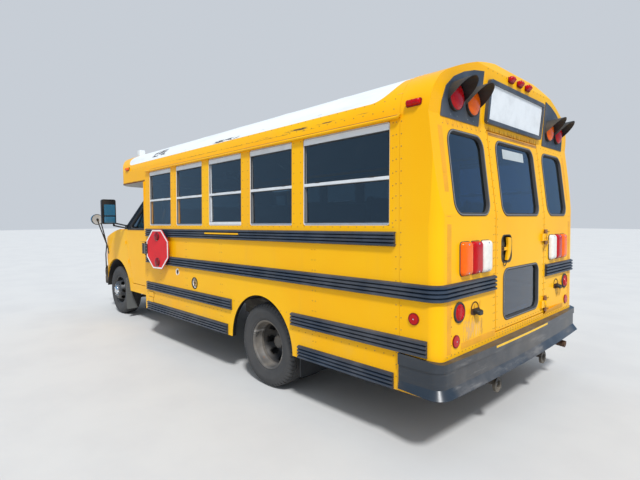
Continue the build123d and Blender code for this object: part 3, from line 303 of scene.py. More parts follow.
def lens(name, color):
    shade = Shade(name, color, 0.12, coat=0.06, specular=0.25)
    shade.cover(shade.patches(30, 2, 0.4, 0.7, 0.3), tone(color, 1.35))
    shade.relief(shade.cells(260), 0.0004)
    return shade.done()


def bare_metal(name, color, rough, rust=0.0, stretch=(1, 1, 1)):
    shade = Shade(name, color, rough, metallic=1.0)
    grain = shade.noise(40, 4, stretch)
    shade.cover(shade.ramp(grain, 0.3, 0.8, 0, 0.4), tone(color, 0.6), rough + 0.2)
    if rust:
        shade.cover(shade.patches(11, 7, 0.4, 0.62, rust, rough=0.7), RUST, 0.9)
    shade.relief(grain, 0.00006)
    return shade.done()


def rubber(name, color, dust):
    shade = Shade(name, color, 0.75)
    shade.cover(shade.ramp(shade.noise(6, 6), 0.3, 0.75, dust * 0.6, dust), (0.085, 0.082, 0.08), 0.95)
    shade.cover(shade.patches(45, 3, 0.5, 0.8, 0.35), (0.07, 0.066, 0.062))
    shade.relief(shade.noise(220, 3), 0.0002)
    return shade.done()


def flap_rubber():
    """Black rubber behind, dusty grey behind the front wheels."""
    shade = Shade("flap_rubber", (0.012, 0.014, 0.017), 0.55)
    shade.cover(shade.ramp(shade.axis("X"), 1.9, 2.0), (0.12, 0.125, 0.122), 0.85)
    shade.cover(shade.patches(6, 6, 0.4, 0.75, 0.3), (0.1, 0.098, 0.09), 0.9)
    shade.relief(shade.noise(220, 3), 0.0002)
    return shade.done()


def seat_vinyl():
    color = (0.035, 0.07, 0.12)
    shade = Shade("seat_vinyl", color, 0.45, sheen=0.1)
    shade.cover(shade.patches(7, 5, 0.4, 0.75, 0.5), tone(color, 0.6), 0.6)
    shade.relief(shade.cells(420), 0.0006)
    shade.relief(shade.noise(18, 4), 0.0015)
    return shade.done()


def plastic(name, color, rough=0.5, coat=0.0):
    shade = Shade(name, color, rough, coat=coat)
    shade.cover(shade.patches(9, 5, 0.4, 0.75, 0.4), tone(color, 0.7))
    shade.relief(shade.cells(500), 0.0004)
    return shade.done()


PAINT = body_paint("yellow_paint")
WALL_PAINT = body_paint("wall_paint", after=[wall_inside_and_arch_shade])
CAB_PAINT = body_paint("cab_paint", after=[black_top])
CAP_PAINT = body_paint("cap_paint", [roof_white], [cap_lip], 0.0)
REAR_PAINT = body_paint("rear_paint", [stain])
ROOF_PAINT = body_paint("roof_paint", [roof_white], low_dust=0.0)
# Dark brown for the rivets: dirt round them and the painted shadows of their heads; also the caulk line and the edges
# round the latch plates.
RIVET_PAINT = dark_paint("rivet_paint", (0.3, 0.13, 0.012), 0.5, 0.4)
FRAME_PAINT = dark_paint("chassis_paint", (0.028, 0.027, 0.026), 0.6, 0.5, 0.5)
RAIL_PAINT = dark_paint("rail_paint", (0.017, 0.03, 0.052), 0.4, 0.12)
UNDERBODY = dark_paint("underbody", (0.009, 0.009, 0.009), 0.8, 0.12)
BUMPER_BLACK = dark_paint("bumper_black", (0.012, 0.012, 0.014), 0.45, 0.2, 0.15)
BUMPER_PAINT = dark_paint("bumper_paint", (0.034, 0.039, 0.048), 0.34, 0.16, 0.3, ends=True)
HOOD_BLACK = dark_paint("lamp_black", (0.007, 0.007, 0.008), 0.5, 0.05)
HOOD_GREY = dark_paint("visor_grey", (0.03, 0.031, 0.033), 0.55, 0.2)
PANEL_GREY = dark_paint("panel_grey", (0.034, 0.045, 0.064), 0.42, 0.14)
WHEEL_PAINT = dark_paint("wheel_paint", (0.018, 0.02, 0.024), 0.45, 0.25, 0.2)
BARREL_PAINT = dark_paint("rim_barrel", (0.075, 0.073, 0.072), 0.5, 0.4, 0.9)
HINGE_RUST = dark_paint("hinge_rust", (0.2, 0.085, 0.035), 0.75, 0.3, 0.3)
POCKET_GREY = dark_paint("pocket_grey", (0.05, 0.048, 0.035), 0.6, 0.3)
RUST_STRIP = dark_paint("rusty_strip", (0.42, 0.19, 0.03), 0.7, 0.2, 0.2)
GLASS = tinted_glass()
HEAD_GLASS = fluted_glass()
ALUMINIUM = bare_metal("aluminium_frame", (0.66, 0.68, 0.7), 0.42, stretch=(1, 1, 12))
STEEL = bare_metal("bare_steel", (0.36, 0.34, 0.32), 0.45)
RUSTY = bare_metal("rusty_steel", (0.2, 0.13, 0.09), 0.7, 0.9)
CHROME = bare_metal("chrome", (0.78, 0.79, 0.8), 0.12)
BRASS = bare_metal("filler_brass", (0.62, 0.42, 0.18), 0.35, 0.35)
RED_LENS = lens("red_lens", (0.45, 0.001, 0.004))
DARK_RED_LENS = lens("dark_red_lens", (0.2, 0.004, 0.008))
AMBER_LENS = lens("amber_lens", (0.88, 0.13, 0.0))
CLEAR_LENS = lens("clear_lens", (0.78, 0.76, 0.7))
TYRE_RUBBER = rubber("tyre_rubber", (0.03, 0.031, 0.033), 0.6)
GASKET = rubber("gasket_rubber", (0.03, 0.03, 0.032), 0.3)
GASKET_GREY = rubber("gasket_insert", (0.2, 0.21, 0.22), 0.2)
FLAP_RUBBER = flap_rubber()
SEAT_VINYL = seat_vinyl()
AMBER_TAPE = plastic("amber_tape", (0.86, 0.385, 0.002))
YELLOW_TAPE = plastic("yellow_tape", (0.93, 0.55, 0.01), 0.4)
CAB_PLASTIC = plastic("cab_plastic", (0.16, 0.15, 0.14), 0.6)
TRIM_BLACK = plastic("trim_black", (0.02, 0.021, 0.023), 0.45)
FRAME_WHITE = plastic("frame_white", (0.7, 0.73, 0.75), 0.35)
SIGN_WHITE = plastic("sign_white", (0.8, 0.83, 0.85), 0.4)
WHITE_METAL = plastic("white_metal", (0.72, 0.75, 0.75), 0.4)
BORDER_WHITE = plastic("border_white", (0.82, 0.82, 0.82), 0.35)
STICKER = plastic("sticker_grey", (0.5, 0.55, 0.56))
STOP_RED = plastic("stop_red", (0.68, 0.002, 0.008))
MIRROR_GLASS = plastic("mirror_glass", (0.035, 0.15, 0.26), 0.08, 0.6)
MIRROR_BACK = plastic("mirror_back", (0.5, 0.5, 0.49), 0.35, 0.3)

NODE_MATERIALS = {
    PAINT: "front_fenders hood",
    WALL_PAINT: "left_side_wall right_side_wall",
    CAB_PAINT: "cab_shell driver_door",
    CAP_PAINT: "front_cap",
    REAR_PAINT: "rear_wall rear_door",
    ROOF_PAINT: "roof",
    UNDERBODY: "body_floor cab_floor",
    FRAME_PAINT: "frame_rails crossmembers rear_axle front_suspension engine fuel_tank left_knuckle right_knuckle",
    RAIL_PAINT: "rub_rails corner_rails",
    BUMPER_PAINT: "rear_bumper front_bumper",
    PANEL_GREY: "warning_lamps signs",
    HOOD_BLACK: "mirrors entrance_door_front entrance_door_rear",
    WHEEL_PAINT: "front_left_rim front_right_rim rear_left_rims rear_right_rims",
    GLASS: "body_glass rear_door_glass driver_door_glass",
    HEAD_GLASS: "headlamps",
    ALUMINIUM: "side_windows",
    RUSTY: "exhaust_pipe",
    RED_LENS: "lamps",
    TYRE_RUBBER: "front_left_tyre front_right_tyre rear_left_tyres rear_right_tyres",
    FLAP_RUBBER: "mud_flaps",
    SEAT_VINYL: "seats",
    CAB_PLASTIC: "grille dashboard",
    STOP_RED: "stop_arm",
}
for material, names in NODE_MATERIALS.items():
    for name in names.split():
        mesh = frame["nodes"][name].data
        mesh.materials.clear()
        mesh.materials.append(material)


# Geometry tools

BACK, AHEAD = Vector((-1, 0, 0)), Vector((1, 0, 0))
RIGHT, LEFT = Vector((0, -1, 0)), Vector((0, 1, 0))
DOWN, UP = Vector((0, 0, -1)), Vector((0, 0, 1))


def turns(start, stop, steps):
    """Angles in radians from one in degrees to another."""
    return [math.radians(start + (stop - start) * i / steps) for i in range(steps + 1)]


def circle(steps):
    return [2 * math.pi * i / steps for i in range(steps)]


def pair(side, a, b):
    """Two distances from the middle, rising, on one side of the bus."""
    return sorted((side * a, side * b))


def rounded(u0, u1, v0, v1, r, steps=5):
    """Corners of a rounded rectangle, counterclockwise, as (u, v)."""
    out = []
    for u, v, start in ((u1 - r, v0 + r, -90), (u1 - r, v1 - r, 0), (u0 + r, v1 - r, 90), (u0 + r, v0 + r, 180)):
        out += [(u + r * math.cos(a), v + r * math.sin(a)) for a in turns(start, start + 90, steps)]
    return out


def upright(x, flat):
    """Points of (y, z) at a station."""
    return [Vector((x, y, z)) for y, z in flat]


def inset(outline, amount):
    """A closed flat outline drawn in by an amount."""
    up = sum((outline[i - 1].cross(spot) for i, spot in enumerate(outline)), Vector()).normalized()
    out = []
    for i, spot in enumerate(outline):
        behind = (spot - outline[i - 1]).normalized()
        ahead = (outline[(i + 1) % len(outline)] - spot).normalized()
        inward = up.cross(behind) + up.cross(ahead)
        out.append(spot + inward.normalized() * amount / max(inward.length / 2, 0.35))
    return out


def around(axis, angle):
    """The direction at an angle round a level axis."""
    return UP * math.cos(angle) + axis.cross(UP) * math.sin(angle)


def mean_normal(found):
    return sum((normal for _, normal in found), Vector()).normalized()


class Piece:
    """One visible piece: geometry in level millimetres, each face with its own material.

    Leaving its with block makes the object on its body, standing for the CAD nodes named.
    """

    def __init__(self, name, body, slot, *nodes):
        self.name, self.body, self.slot, self.nodes = name, body, slot, nodes
        self.shape = bmesh.new()
        self.materials = []

    def __enter__(self):
        return self

    def __exit__(self, problem, *_):
        if problem is None:
            self.done()

    def paint(self, faces, material, smooth=True):
        if material not in self.materials:
            self.materials.append(material)
        for face in faces:
            face.material_index = self.materials.index(material)
            face.smooth = smooth

    def skin(self, rings, material, caps=True, smooth=True):
        """Joins closed rings of points into a surface."""
        rows = [[self.shape.verts.new(spot) for spot in ring] for ring in rings]
        count = len(rows[0])
        faces = []
        for near, far in zip(rows, rows[1:]):
            for i in range(count):
                j = (i + 1) % count
                faces.append(self.shape.faces.new((near[i], near[j], far[j], far[i])))
        if caps:
            faces += [self.shape.faces.new(rows[0][::-1]), self.shape.faces.new(rows[-1])]
        self.paint(faces, material, smooth)

    def lathe(self, centre, axis, profile, material, sides=20):
        """Turns a profile of (along, radius) round an axis."""
        centre, axis = Vector(centre), Vector(axis).normalized()
        side = UP if abs(axis.z) < 0.9 else AHEAD
        side = (side - axis * side.dot(axis)).normalized()
        up = axis.cross(side)
        ways = [side * math.cos(a) + up * math.sin(a) for a in circle(sides)]
        self.skin([[centre + axis * along + way * radius for way in ways] for along, radius in profile], material)

    def ringed(self, centre, axis, sections, angles, material):
        """A closed ring of sections of (along, radius) round a level axis."""
        rings = [[centre + axis * along + around(axis, angle) * radius for along, radius in section]
                 for angle, section in zip(angles, sections)]
        self.skin(rings + rings[:1], material, caps=False)

    def turned(self, centre, axis, *parts):
        """Several lathed parts about one axis, each a profile, a material and a number of sides."""
        for profile, material, sides in parts:
            self.lathe(centre, axis, profile, material, sides)

    def rod(self, start, end, radius, material, sides=10):
        start, end = Vector(start), Vector(end)
        length = (end - start).length
        edge = min(radius * 0.25, 2)
        profile = ((0, radius - edge), (edge, radius), (length - edge, radius), (length, radius - edge))
        self.lathe(start, end - start, profile, material, sides)

    def tube(self, route, radius, material, sides=8):
        """A round bar along a line of points."""
        route = [Vector(spot) for spot in route]
        side = (route[1] - route[0]).normalized().orthogonal().normalized()
        rings = []
        for i, spot in enumerate(route):
            ahead = route[min(i + 1, len(route) - 1)] - route[max(i - 1, 0)]
            ahead.normalize()
            side = (side - ahead * side.dot(ahead)).normalized()
            up = ahead.cross(side)
            rings.append([spot + (side * math.cos(a) + up * math.sin(a)) * radius for a in circle(sides)])
        self.skin(rings, material)

    def band(self, path, normals, section, material, loop=True, smooth=True):
        """Sweeps a section of (side, out) along a path on a surface, with one normal or one per point."""
        count = len(path)
        if isinstance(normals, Vector):
            normals = [normals] * count
        rings = []
        for i, (spot, normal) in enumerate(zip(path, normals)):
            before = path[i - 1] if loop or i else spot
            after = path[(i + 1) % count] if loop or i < count - 1 else spot
            side = normal.cross(after - before).normalized()
            rings.append([spot + side * s + normal * o for s, o in section])
        if loop:
            rings.append(rings[0])
        self.skin(rings, material, caps=not loop, smooth=smooth)

    def strip(self, surface, spots, look, section, material, reach=600):
        """Sweeps a section along the places under several spots, standing up towards them."""
        path = [spot for spot, _ in surface.on(spots, look, reach)]
        self.band(path, -Vector(look), section, material, loop=False)

    def plate(self, outline, normal, thick, material, bevel=1.5, sink=1.0):
        """A plate with softened edges that stands on a flat outline."""
        outline = [Vector(spot) for spot in outline]
        normal = Vector(normal).normalized()
        rings = [[spot - normal * sink for spot in outline], [spot + normal * (thick - bevel) for spot in outline],
                 [spot + normal * thick for spot in inset(outline, bevel)]]
        self.skin(rings, material, smooth=False)

    def drape(self, surface, outline, look, thick, material, bevel=0.4, lift=0.0):
        """A thin flat thing such as tape, laid on a surface over an outline of spots."""
        found = surface.on(outline, look, 900)
        if len(found) > 2:
            normal = mean_normal(found)
            self.plate([spot + normal * lift for spot, _ in found], normal, thick, material, bevel)

    def box(self, x, y, z, material, edge=2.0):
        """A box between pairs of ends along each axis, with softened edges."""
        (x0, x1), (y0, y1), (z0, z1) = sorted(x), sorted(y), sorted(z)
        rings = []
        for height, cut in ((z0, edge), (z0 + edge, 0), (z1 - edge, 0), (z1, edge)):
            flat = rounded(x0 + cut, x1 - cut, y0 + cut, y1 - cut, edge, 1)
            rings.append([Vector((u, v, height)) for u, v in flat])
        self.skin(rings, material, smooth=False)

    def rivets(self, spots, normal, radius, material=None, sides=8):
        profile = ((-1, radius), (radius * 0.28, radius * 0.85), (radius * 0.48, radius * 0.4))
        for spot in spots:
            self.lathe(spot, normal, profile, material or STEEL, sides)

    def rivet_rows(self, surface, lines, look, pitch):
        """Rivets along lines between pairs of spots, set down on a surface."""
        for start, end in lines:
            start, end = Vector(start), Vector(end)
            count = max(1, round((end - start).length / pitch))
            for i in range(count + 1):
                found = surface.hit(start.lerp(end, i / count), look)
                if found:
                    self.rivets([found[0]], found[1], 4.5, RIVET_PAINT, 6)

    def done(self):
        bmesh.ops.remove_doubles(self.shape, verts=self.shape.verts, dist=0.01)
        bmesh.ops.recalc_face_normals(self.shape, faces=self.shape.faces)
        for edge in self.shape.edges:
            if len(edge.link_faces) == 2 and edge.calc_face_angle() > math.radians(38):
                edge.smooth = False
        mesh = bpy.data.meshes.new(self.name)
        self.shape.to_mesh(mesh)
        self.shape.free()
        mesh.transform(LEVEL)
        for material in self.materials:
            mesh.materials.append(material)
        piece = bpy.data.objects.new(self.name, mesh)
        bpy.context.scene.collection.objects.link(piece)
        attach(piece, self.body)
        if self.nodes:
            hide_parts(*self.nodes)


class Surface:
    """The outside of some CAD nodes in level millimetres, found by looking along a line."""

    def __init__(self, *nodes):
        points, faces = [], []
        for node in nodes:
            mesh = frame["nodes"][node].data
            start = len(points)
            points += [UNLEVEL @ vertex.co for vertex in mesh.vertices]
            faces += [[start + i for i in polygon.vertices] for polygon in mesh.polygons]
        self.tree = BVHTree.FromPolygons(points, faces)

    def hit(self, spot, look, reach=400):
        """Where a look from a spot meets the surface, and its normal there, or None."""
        look = Vector(look).normalized()
        place, normal, _, _ = self.tree.ray_cast(Vector(spot), look, reach)
        if place is None or normal.dot(look) > -0.25:
            return None
        return place, normal

    def on(self, spots, look, reach=600):
        """The places under several spots, each with its normal."""
        found = [self.hit(spot, look, reach) for spot in spots]
        return [each for each in found if each]


REAR = Surface("rear_wall", "rear_door")
SIDES = Surface("left_side_wall", "right_side_wall", "rear_wall")
TOP = Surface("roof", "front_cap", "rear_wall")
CAP = Surface("front_cap")
DOOR = Surface("driver_door")
WINDSCREEN = Surface("body_glass")


def rear_spots(y0, y1, z0, z1, r=0.0, steps=4):
    """Spots behind the rear wall on a rounded rectangle in (y, z)."""
    flat = rounded(y0, y1, z0, z1, r, steps) if r else [(y0, z0), (y1, z0), (y1, z1), (y0, z1)]
    return upright(REAR_X - 200, flat)


def side_spots(x0, x1, z0, z1, side=1, r=0.0):
    """Spots beside a side wall on a rounded rectangle in (x, z)."""
    flat = rounded(x0, x1, z0, z1, r, 4) if r else [(x0, z0), (x1, z0), (x1, z1), (x0, z1)]
    return [(x, side * (HALF_W + 200), z) for x, z in flat]


# Rear wall and rear door

GASKET_PARTS = (
    (((16, -1), (15, 3), (13, 4.5), (11, 4), (11, -1)), GASKET),
    (((11, -1), (11, 4.5), (9, 6), (5, 6), (3, 4.5), (3, -1)), GASKET_GREY),
    (((3, -1), (3, 4), (0, 5), (-3, 3), (-5, -1), (-9, -15), (-5, -19), (0, -10)), GASKET),
)


def rear_slope(z):
    """Station of the rear wall's skin and its normal at a height: upright, leaning in, leaning out."""
    if z <= 1500:
        return REAR_X, BACK
    if z <= 2110:
        return REAR_X + 75 * (z - 1500) / 610, Vector((-1, 0, 0.123)).normalized()
    return REAR_X + 75 - 40 * (z - 2110) / 399, Vector((-1, 0, -0.1)).normalized()


def rear_line(flat):
    """Points of the rear wall's skin for places in (y, z), and its normals there."""
    return [Vector((rear_slope(z)[0], y, z)) for y, z in flat], [rear_slope(z)[1] for _, z in flat]


def rear_gaskets(piece, *windows):
    """Rubber mouldings round panes, with a lighter strip set into them that is also a painted highlight along the
    rubber.
    """
    for window in windows:
        for section, material in GASKET_PARTS:
            piece.band(*rear_line(rounded(*window, 8)), section, material)


with Piece("rear_window_gaskets", "bus_body", "trim_black") as piece:
    rear_gaskets(piece, (556, 1014, 1505, 2023, 80), (-1014, -556, 1505, 2023, 80))
with Piece("rear_door_gaskets", "rear_door", "trim_black") as piece:
    rear_gaskets(piece, (-343, 343, 1504, 2027, 70), (-326, 326, 740, 1095, 60))


LENS_LOW, LENS_HIGH, LENS_CORNER = 1112, 1326, 26
LENS_OUT = 36
LENS_STEPS = ((4, 0), (LENS_OUT * 0.4, 1), (LENS_OUT * 0.65, 5), (LENS_OUT * 0.83, 13), (LENS_OUT * 0.95, 25),
              (LENS_OUT, 40))


def tail_lens(piece, y0, y1, material):
    """A lamp lens on the rear wall: a base with a bulging cover, two screws and small pyramids."""
    z0, z1 = LENS_LOW, LENS_HIGH
    piece.plate(upright(REAR_X, rounded(y0 - 3, y1 + 3, z0 - 3, z1 + 3, LENS_CORNER + 3)), BACK, 6, GASKET)
    rings = []
    for depth, cut in LENS_STEPS:
        flat = rounded(y0 + cut, y1 - cut, z0 + cut, z1 - cut, max(LENS_CORNER - cut * 0.6, 5))
        rings.append(upright(REAR_X - depth, flat))
    piece.skin(rings, material)
    for z in (z0 + 17, z1 - 17):
        screw = (REAR_X - LENS_OUT * 0.82, (y0 + y1) / 2, z)
        piece.lathe(screw, BACK, ((0, 7), (3, 6), (4, 3), (2.5, 0.5)), CHROME, 10)
    y0, y1, z0, z1 = y0 + 28, y1 - 28, 1145, 1293
    across, high = round((y1 - y0) / 22), round((z1 - z0) / 22)
    for i in range(across):
        for j in range(high):
            a0, a1 = y0 + (y1 - y0) * i / across, y0 + (y1 - y0) * (i + 1) / across
            b0, b1 = z0 + (z1 - z0) * j / high, z0 + (z1 - z0) * (j + 1) / high
            ring = upright(REAR_X - 26, ((a0, b0), (a1, b0), (a1, b1), (a0, b1)))
            peak = Vector((REAR_X - 29, (a0 + a1) / 2, (b0 + b1) / 2))
            piece.skin([ring, [peak.lerp(spot, 0.12) for spot in ring]], material, smooth=False)


STOP_LAMP = (
    (((-1, 66), (7, 66), (11, 63), (12, 58), (9, 54), (4, 53)), GASKET, 36),
    (((2, 53.5), (9, 52), (13, 44), (15, 30), (15.6, 12), (15.7, 0.6)), RED_LENS, 36),
    *((((13.2, r - 1.6), (16.6, r), (13.2, r + 1.6)), RED_LENS, 36) for r in (14, 24, 34, 43)),
)
REAR_REFLECTOR = (
    (((-1, 41), (6, 41), (8.5, 38), (8.5, 35), (7, 34)), DARK_RED_LENS, 32),
    (((3, 34.5), (8, 34), (9, 20), (9, 5)), RED_LENS, 32),
    (((6, 5), (11, 4.5), (12, 2)), CHROME, 10),
)
SIDE_REFLECTOR = (
    (((-1, 38), (7, 38), (9, 35), (9, 33), (7, 32)), DARK_RED_LENS, 32),
    (((3, 32.5), (8, 32), (9, 18), (9, 5)), RED_LENS, 32),
    (((6, 5), (10.5, 4.5), (11.5, 2)), CHROME, 10),
)


def marker_lamp(piece, spot, size, normal, material, base):
    """A long domed lens with ribs on a base, across the slope of the skin."""
    centre, normal = Vector(spot), Vector(normal).normalized()
    side = (LEFT - normal * normal.y).normalized() if abs(normal.y) < 0.7 else (AHEAD - normal * normal.x).normalized()
    up = normal.cross(side)
    long, wide, tall = size

    def ring(depth, cut, r):
        flat = rounded(-long / 2 + cut, long / 2 - cut, -wide / 2 + cut, wide / 2 - cut, r, 4)
        return [centre + side * u + up * v + normal * depth for u, v in flat]

    piece.skin([ring(-8, -3, 12), ring(5, -3, 12), ring(7, 0, 12)], base, smooth=False)
    piece.skin([ring(6, 2, 10), ring(tall * 0.6, 3, 10), ring(tall * 0.85, 7, 8), ring(tall, 14, 6)], material)
    for k in (-0.28, 0, 0.28):
        rib = [centre + side * (long * k + a) + up * b * (wide / 2 - 8) + normal * (tall * 0.93)
               for a, b in ((-2, -1), (2, -1), (2, 1), (-2, 1))]
        piece.plate(rib, normal, tall * 0.1, material, 0.8)


def licence_lamp(piece, y):
    """Small hooded lamp over the bare plate patch, on a bent bracket."""
    piece.plate(upright(REAR_X, rounded(y - 62, y + 62, 846, 884, 18)), BACK, 5, RUSTY)
    hood = rounded(y - 34, y + 34, 852, 880, 10)
    rings = [upright(REAR_X - d, [(y + (a - y) * k, b + lift) for a, b in hood])
             for d, k, lift in ((3, 1, 0), (26, 1, -2), (40, 0.9, -6), (44, 0.75, -8))]
    piece.skin(rings, HOOD_BLACK)
    bracket = upright(REAR_X, [(y + 6 + 48 * math.cos(a), 884 + 42 * math.sin(a)) for a in circle(24)])
    piece.band(bracket, BACK, ((-4, -0.5), (-3, 3), (3, 3), (4, -0.5)), RUSTY)


with Piece("lamps_and_reflectors", "bus_body", "lamp_lens", "lamps") as piece:
    for side in (1, -1):
        for inner, outer, material in ((566, 698, CLEAR_LENS), (702, 836, RED_LENS), (840, 972, AMBER_LENS)):
            tail_lens(piece, *pair(side, inner, outer), material)
        piece.turned((REAR_X, side * 980, 888), BACK, *STOP_LAMP)
        piece.turned((REAR_X, side * 1018, 712), BACK, *REAR_REFLECTOR)
        piece.turned((-1596, side * HALF_W, 860), (0, side, 0), *SIDE_REFLECTOR)
    for y in (-155, 0, 155):
        spot, _ = REAR.hit((REAR_X - 200, y, 2496), AHEAD)
        marker_lamp(piece, spot + BACK * 2, (76, 40, 34), (-0.92, 0, 0.38), RED_LENS, DARK_RED_LENS)
        spot, normal = CAP.hit((3110, y, 2700), DOWN)
        marker_lamp(piece, spot, (76, 44, 34), normal, AMBER_LENS, HOOD_BLACK)
    for side in (1, -1):
        for x, z, material, base in ((-1588, 2176, RED_LENS, DARK_RED_LENS), (2960, 2190, AMBER_LENS, HOOD_BLACK)):
            spot, _ = TOP.hit((x, side * 1500, z), (0, -side, 0))
            marker_lamp(piece, spot, (104, 40, 30), (0, side, 0.15), material, base)
    for side in (1, -1):
        licence_lamp(piece, side * 765)


# The black panels beside the header sign, as (y, z)
LAMP_PANEL = ((590, 2101), (1079, 2101), (1075, 2190), (1042, 2288), (960, 2358), (842, 2410), (714, 2447), (577, 2470))
WARNING_BASE = ((-8, 91), (12, 91), (14, 89), (14, 85), (8, 83))
WARNING_DOME = ((6, 84), (14, 83), (22, 74), (29, 54), (33, 30), (34.5, 10), (34.7, 0.6))
VISOR_RADIUS = 92
VISOR_REACH = 143


def warning_lamp(piece, centre, way, material):
    """A domed lamp with rings, in a visor open below and cut back on both sides in a smooth curve."""
    centre, side = Vector(centre), UP.cross(way)
    piece.turned(centre, way, (WARNING_BASE, HOOD_BLACK, 40), (WARNING_DOME, material, 40))
    for r in (20, 36, 52):
        k = 34 - r * r / 200
        piece.lathe(centre, way, ((k - 3, r - 2), (k + 0.6, r), (k - 4, r + 2)), material, 40)
    # The visor's outer skin is dark grey; its inner skin is near-black, painted shade inside the hood.
    for skin, paint in ((0, HOOD_GREY), (-2.5, HOOD_BLACK)):
        rings = []
        for angle in turns(-108, 108, 28):
            out = UP * math.cos(angle) + side * math.sin(angle)
            far = VISOR_REACH * max(math.cos(angle * 0.82), 0.03)
            steps = ((-6, 0), (far * 0.5, 0.5), (far, 1))
            outside = [(depth, VISOR_RADIUS + skin + 9 * lift * far / VISOR_REACH) for depth, lift in steps]
            inside = [(depth, r - 2.4) for depth, r in outside[::-1]]
            rings.append([centre + way * depth + out * r for depth, r in outside + inside])
        piece.skin(rings, paint)


with Piece("warning_lamps", "bus_body", "trim_black", "warning_lamps") as piece:
    for side in (1, -1):
        piece.drape(REAR, upright(REAR_X - 200, [(side * y, z) for y, z in LAMP_PANEL]), AHEAD, 5, PANEL_GREY, 1)
        for y, material in ((926, RED_LENS), (706, AMBER_LENS)):
            warning_lamp(piece, (rear_slope(2239)[0] - 5, side * y, 2239), BACK, material)
            screws = [(side * y + dy, 2126) for dy in (-40, 40)]
            piece.rivets(upright(rear_slope(2126)[0] - 5, screws), BACK, 6)
        for y, z, material in ((860, 2290, RED_LENS), (640, 2300, AMBER_LENS)):
            piece.lathe((3330, side * y, z), AHEAD, ((0, 80), (50, 80), (54, 78)), HOOD_BLACK, 40)
            warning_lamp(piece, (3372, side * y, z), AHEAD, material)

# A dark frame round a blank white face at the rear, a blank board on the cap
SIGN_FRAME = ((17, -1), (17, 24), (14, 26), (-11, 26), (-13, 24), (-13, 6), (-13, -1))
with Piece("header_signs", "bus_body", "sign_white", "signs") as piece:
    piece.band(*rear_line(rounded(-491, 491, 2156, 2420, 10, 3)), SIGN_FRAME, PANEL_GREY, smooth=False)
    piece.drape(REAR, rear_spots(-486, 486, 2160, 2416), AHEAD, 12, PANEL_GREY, 1)
    face = [spot + normal * 12 for spot, normal in REAR.on(rear_spots(-476, 476, 2168, 2408, 8), AHEAD)]
    piece.plate(face, rear_slope(2300)[1], 2.5, SIGN_WHITE, 1)
    for y in (-499, 0, 499):
        for z in (2149, 2428):
            x, normal = rear_slope(z)
            piece.rivets([Vector((x, y, z)) + normal * 25.5], normal, 5)
    board = Surface("signs")
    piece.drape(board, upright(3800, rounded(-498, 498, 2222, 2428, 10)), BACK, 17, PANEL_GREY, 1, lift=-16)
    piece.drape(board, upright(3800, rounded(-484, 484, 2236, 2414, 10)), BACK, 3, SIGN_WHITE, 1)
    for spot, normal in board.on(upright(3800, [(y, 2246) for y in (-470, -235, 0, 235, 470)]), BACK):
        piece.rivets([spot + normal * 2.5], normal, 5)

BUMPER_TAPE = ((-8, -0.5), (-8, 0.8), (7, 0.8), (9, -3), (9, -30), (8, -30), (6, -3), (6, -0.5))
with Piece("rear_tapes", "bus_body", "body_yellow") as piece:
    for side in (1, -1):
        for z0, z1 in ((646, 970), (1080, 1248), (1250, 1440), (1484, 1740), (1744, 2040)):
            piece.drape(REAR, rear_spots(*pair(side, 1072, 1122), z0, z1), AHEAD, 0.8, AMBER_TAPE, 0.3)
        piece.drape(REAR, rear_spots(*pair(side, 470, 950), 646, 688), AHEAD, 0.8, AMBER_TAPE, 0.3)
    spots = [(-2000, 570 - 47.5 * i, 597) for i in range(21)]
    piece.strip(Surface("rear_bumper"), spots, AHEAD, BUMPER_TAPE, YELLOW_TAPE)

# Perforated strip along the top of the rear door
with Piece("header_strip", "rear_door", "body_yellow") as piece:
    piece.drape(REAR, rear_spots(-450, 450, 2062, 2086), AHEAD, 2.5, RUST_STRIP, 0.6)
    for spot, normal in REAR.on([(REAR_X - 200, -440 + 16 * i, 2074) for i in range(56)], AHEAD):
        piece.lathe(spot + normal * 2, normal, ((0, 4), (0.9, 3.8), (1, 3)), HOOD_BLACK, 6)

# Rubber seal inside the bus, over the gap round the rear door
SEAL_SECTION = ((-8, -0.5), (-8, 3), (2, 6), (12, 9), (24, 7), (26, 2), (22, 1), (8, -0.5))
with Piece("rear_door_seal", "bus_body", "trim_black") as piece:
    floor = Surface("body_floor").hit((-1650, 0, 1500), DOWN, 1500)[0].z
    corners = rounded(-474, 474, floor - 100, 2106, 30)[6:18]
    heights = [floor + 2 + (2070 - floor) * i / 12 for i in range(12)]
    flat = [(474, z) for z in heights] + corners + [(-474, z) for z in reversed(heights)]
    piece.strip(Surface("rear_wall"), upright(-1500, flat), BACK, SEAL_SECTION, GASKET)

# Lever in the door's round-ended pocket, with a steel lining painted dark grey as the shade in the pocket, and a loop
# of cable at its foot
PADDLE = ((206, 1330), (203, 1290), (208, 1236), (232, 1186), (262, 1162), (278, 1168), (262, 1222), (254, 1280),
          (262, 1334))
CABLE = ((-3, 352, 1190), (-10, 360, 1160), (-8, 350, 1136), (-8, 326, 1130), (-9, 308, 1146), (-6, 306, 1168))
with Piece("rear_door_handle", "rear_door", "body_yellow") as piece:
    lining = ((5, -1), (4, 3), (-2, 3), (-3, -30), (-1, -30), (0, -2))
    piece.band(upright(REAR_X, rounded(200, 370, 1154, 1350, 45, 8)), BACK, lining, POCKET_GREY)
    piece.plate(upright(REAR_X + 31, rounded(203, 367, 1157, 1347, 42, 6)), BACK, 1, POCKET_GREY, 0.5)
    piece.plate(upright(REAR_X + 12, PADDLE), BACK, 17, PAINT, 5, sink=3)
    piece.lathe((REAR_X + 30, 330, 1251), BACK, ((0, 20), (24, 19), (28, 15), (29, 6)), RUSTY, 20)
    piece.tube([(REAR_X + x, y, z) for x, y, z in CABLE], 3, HOOD_BLACK)

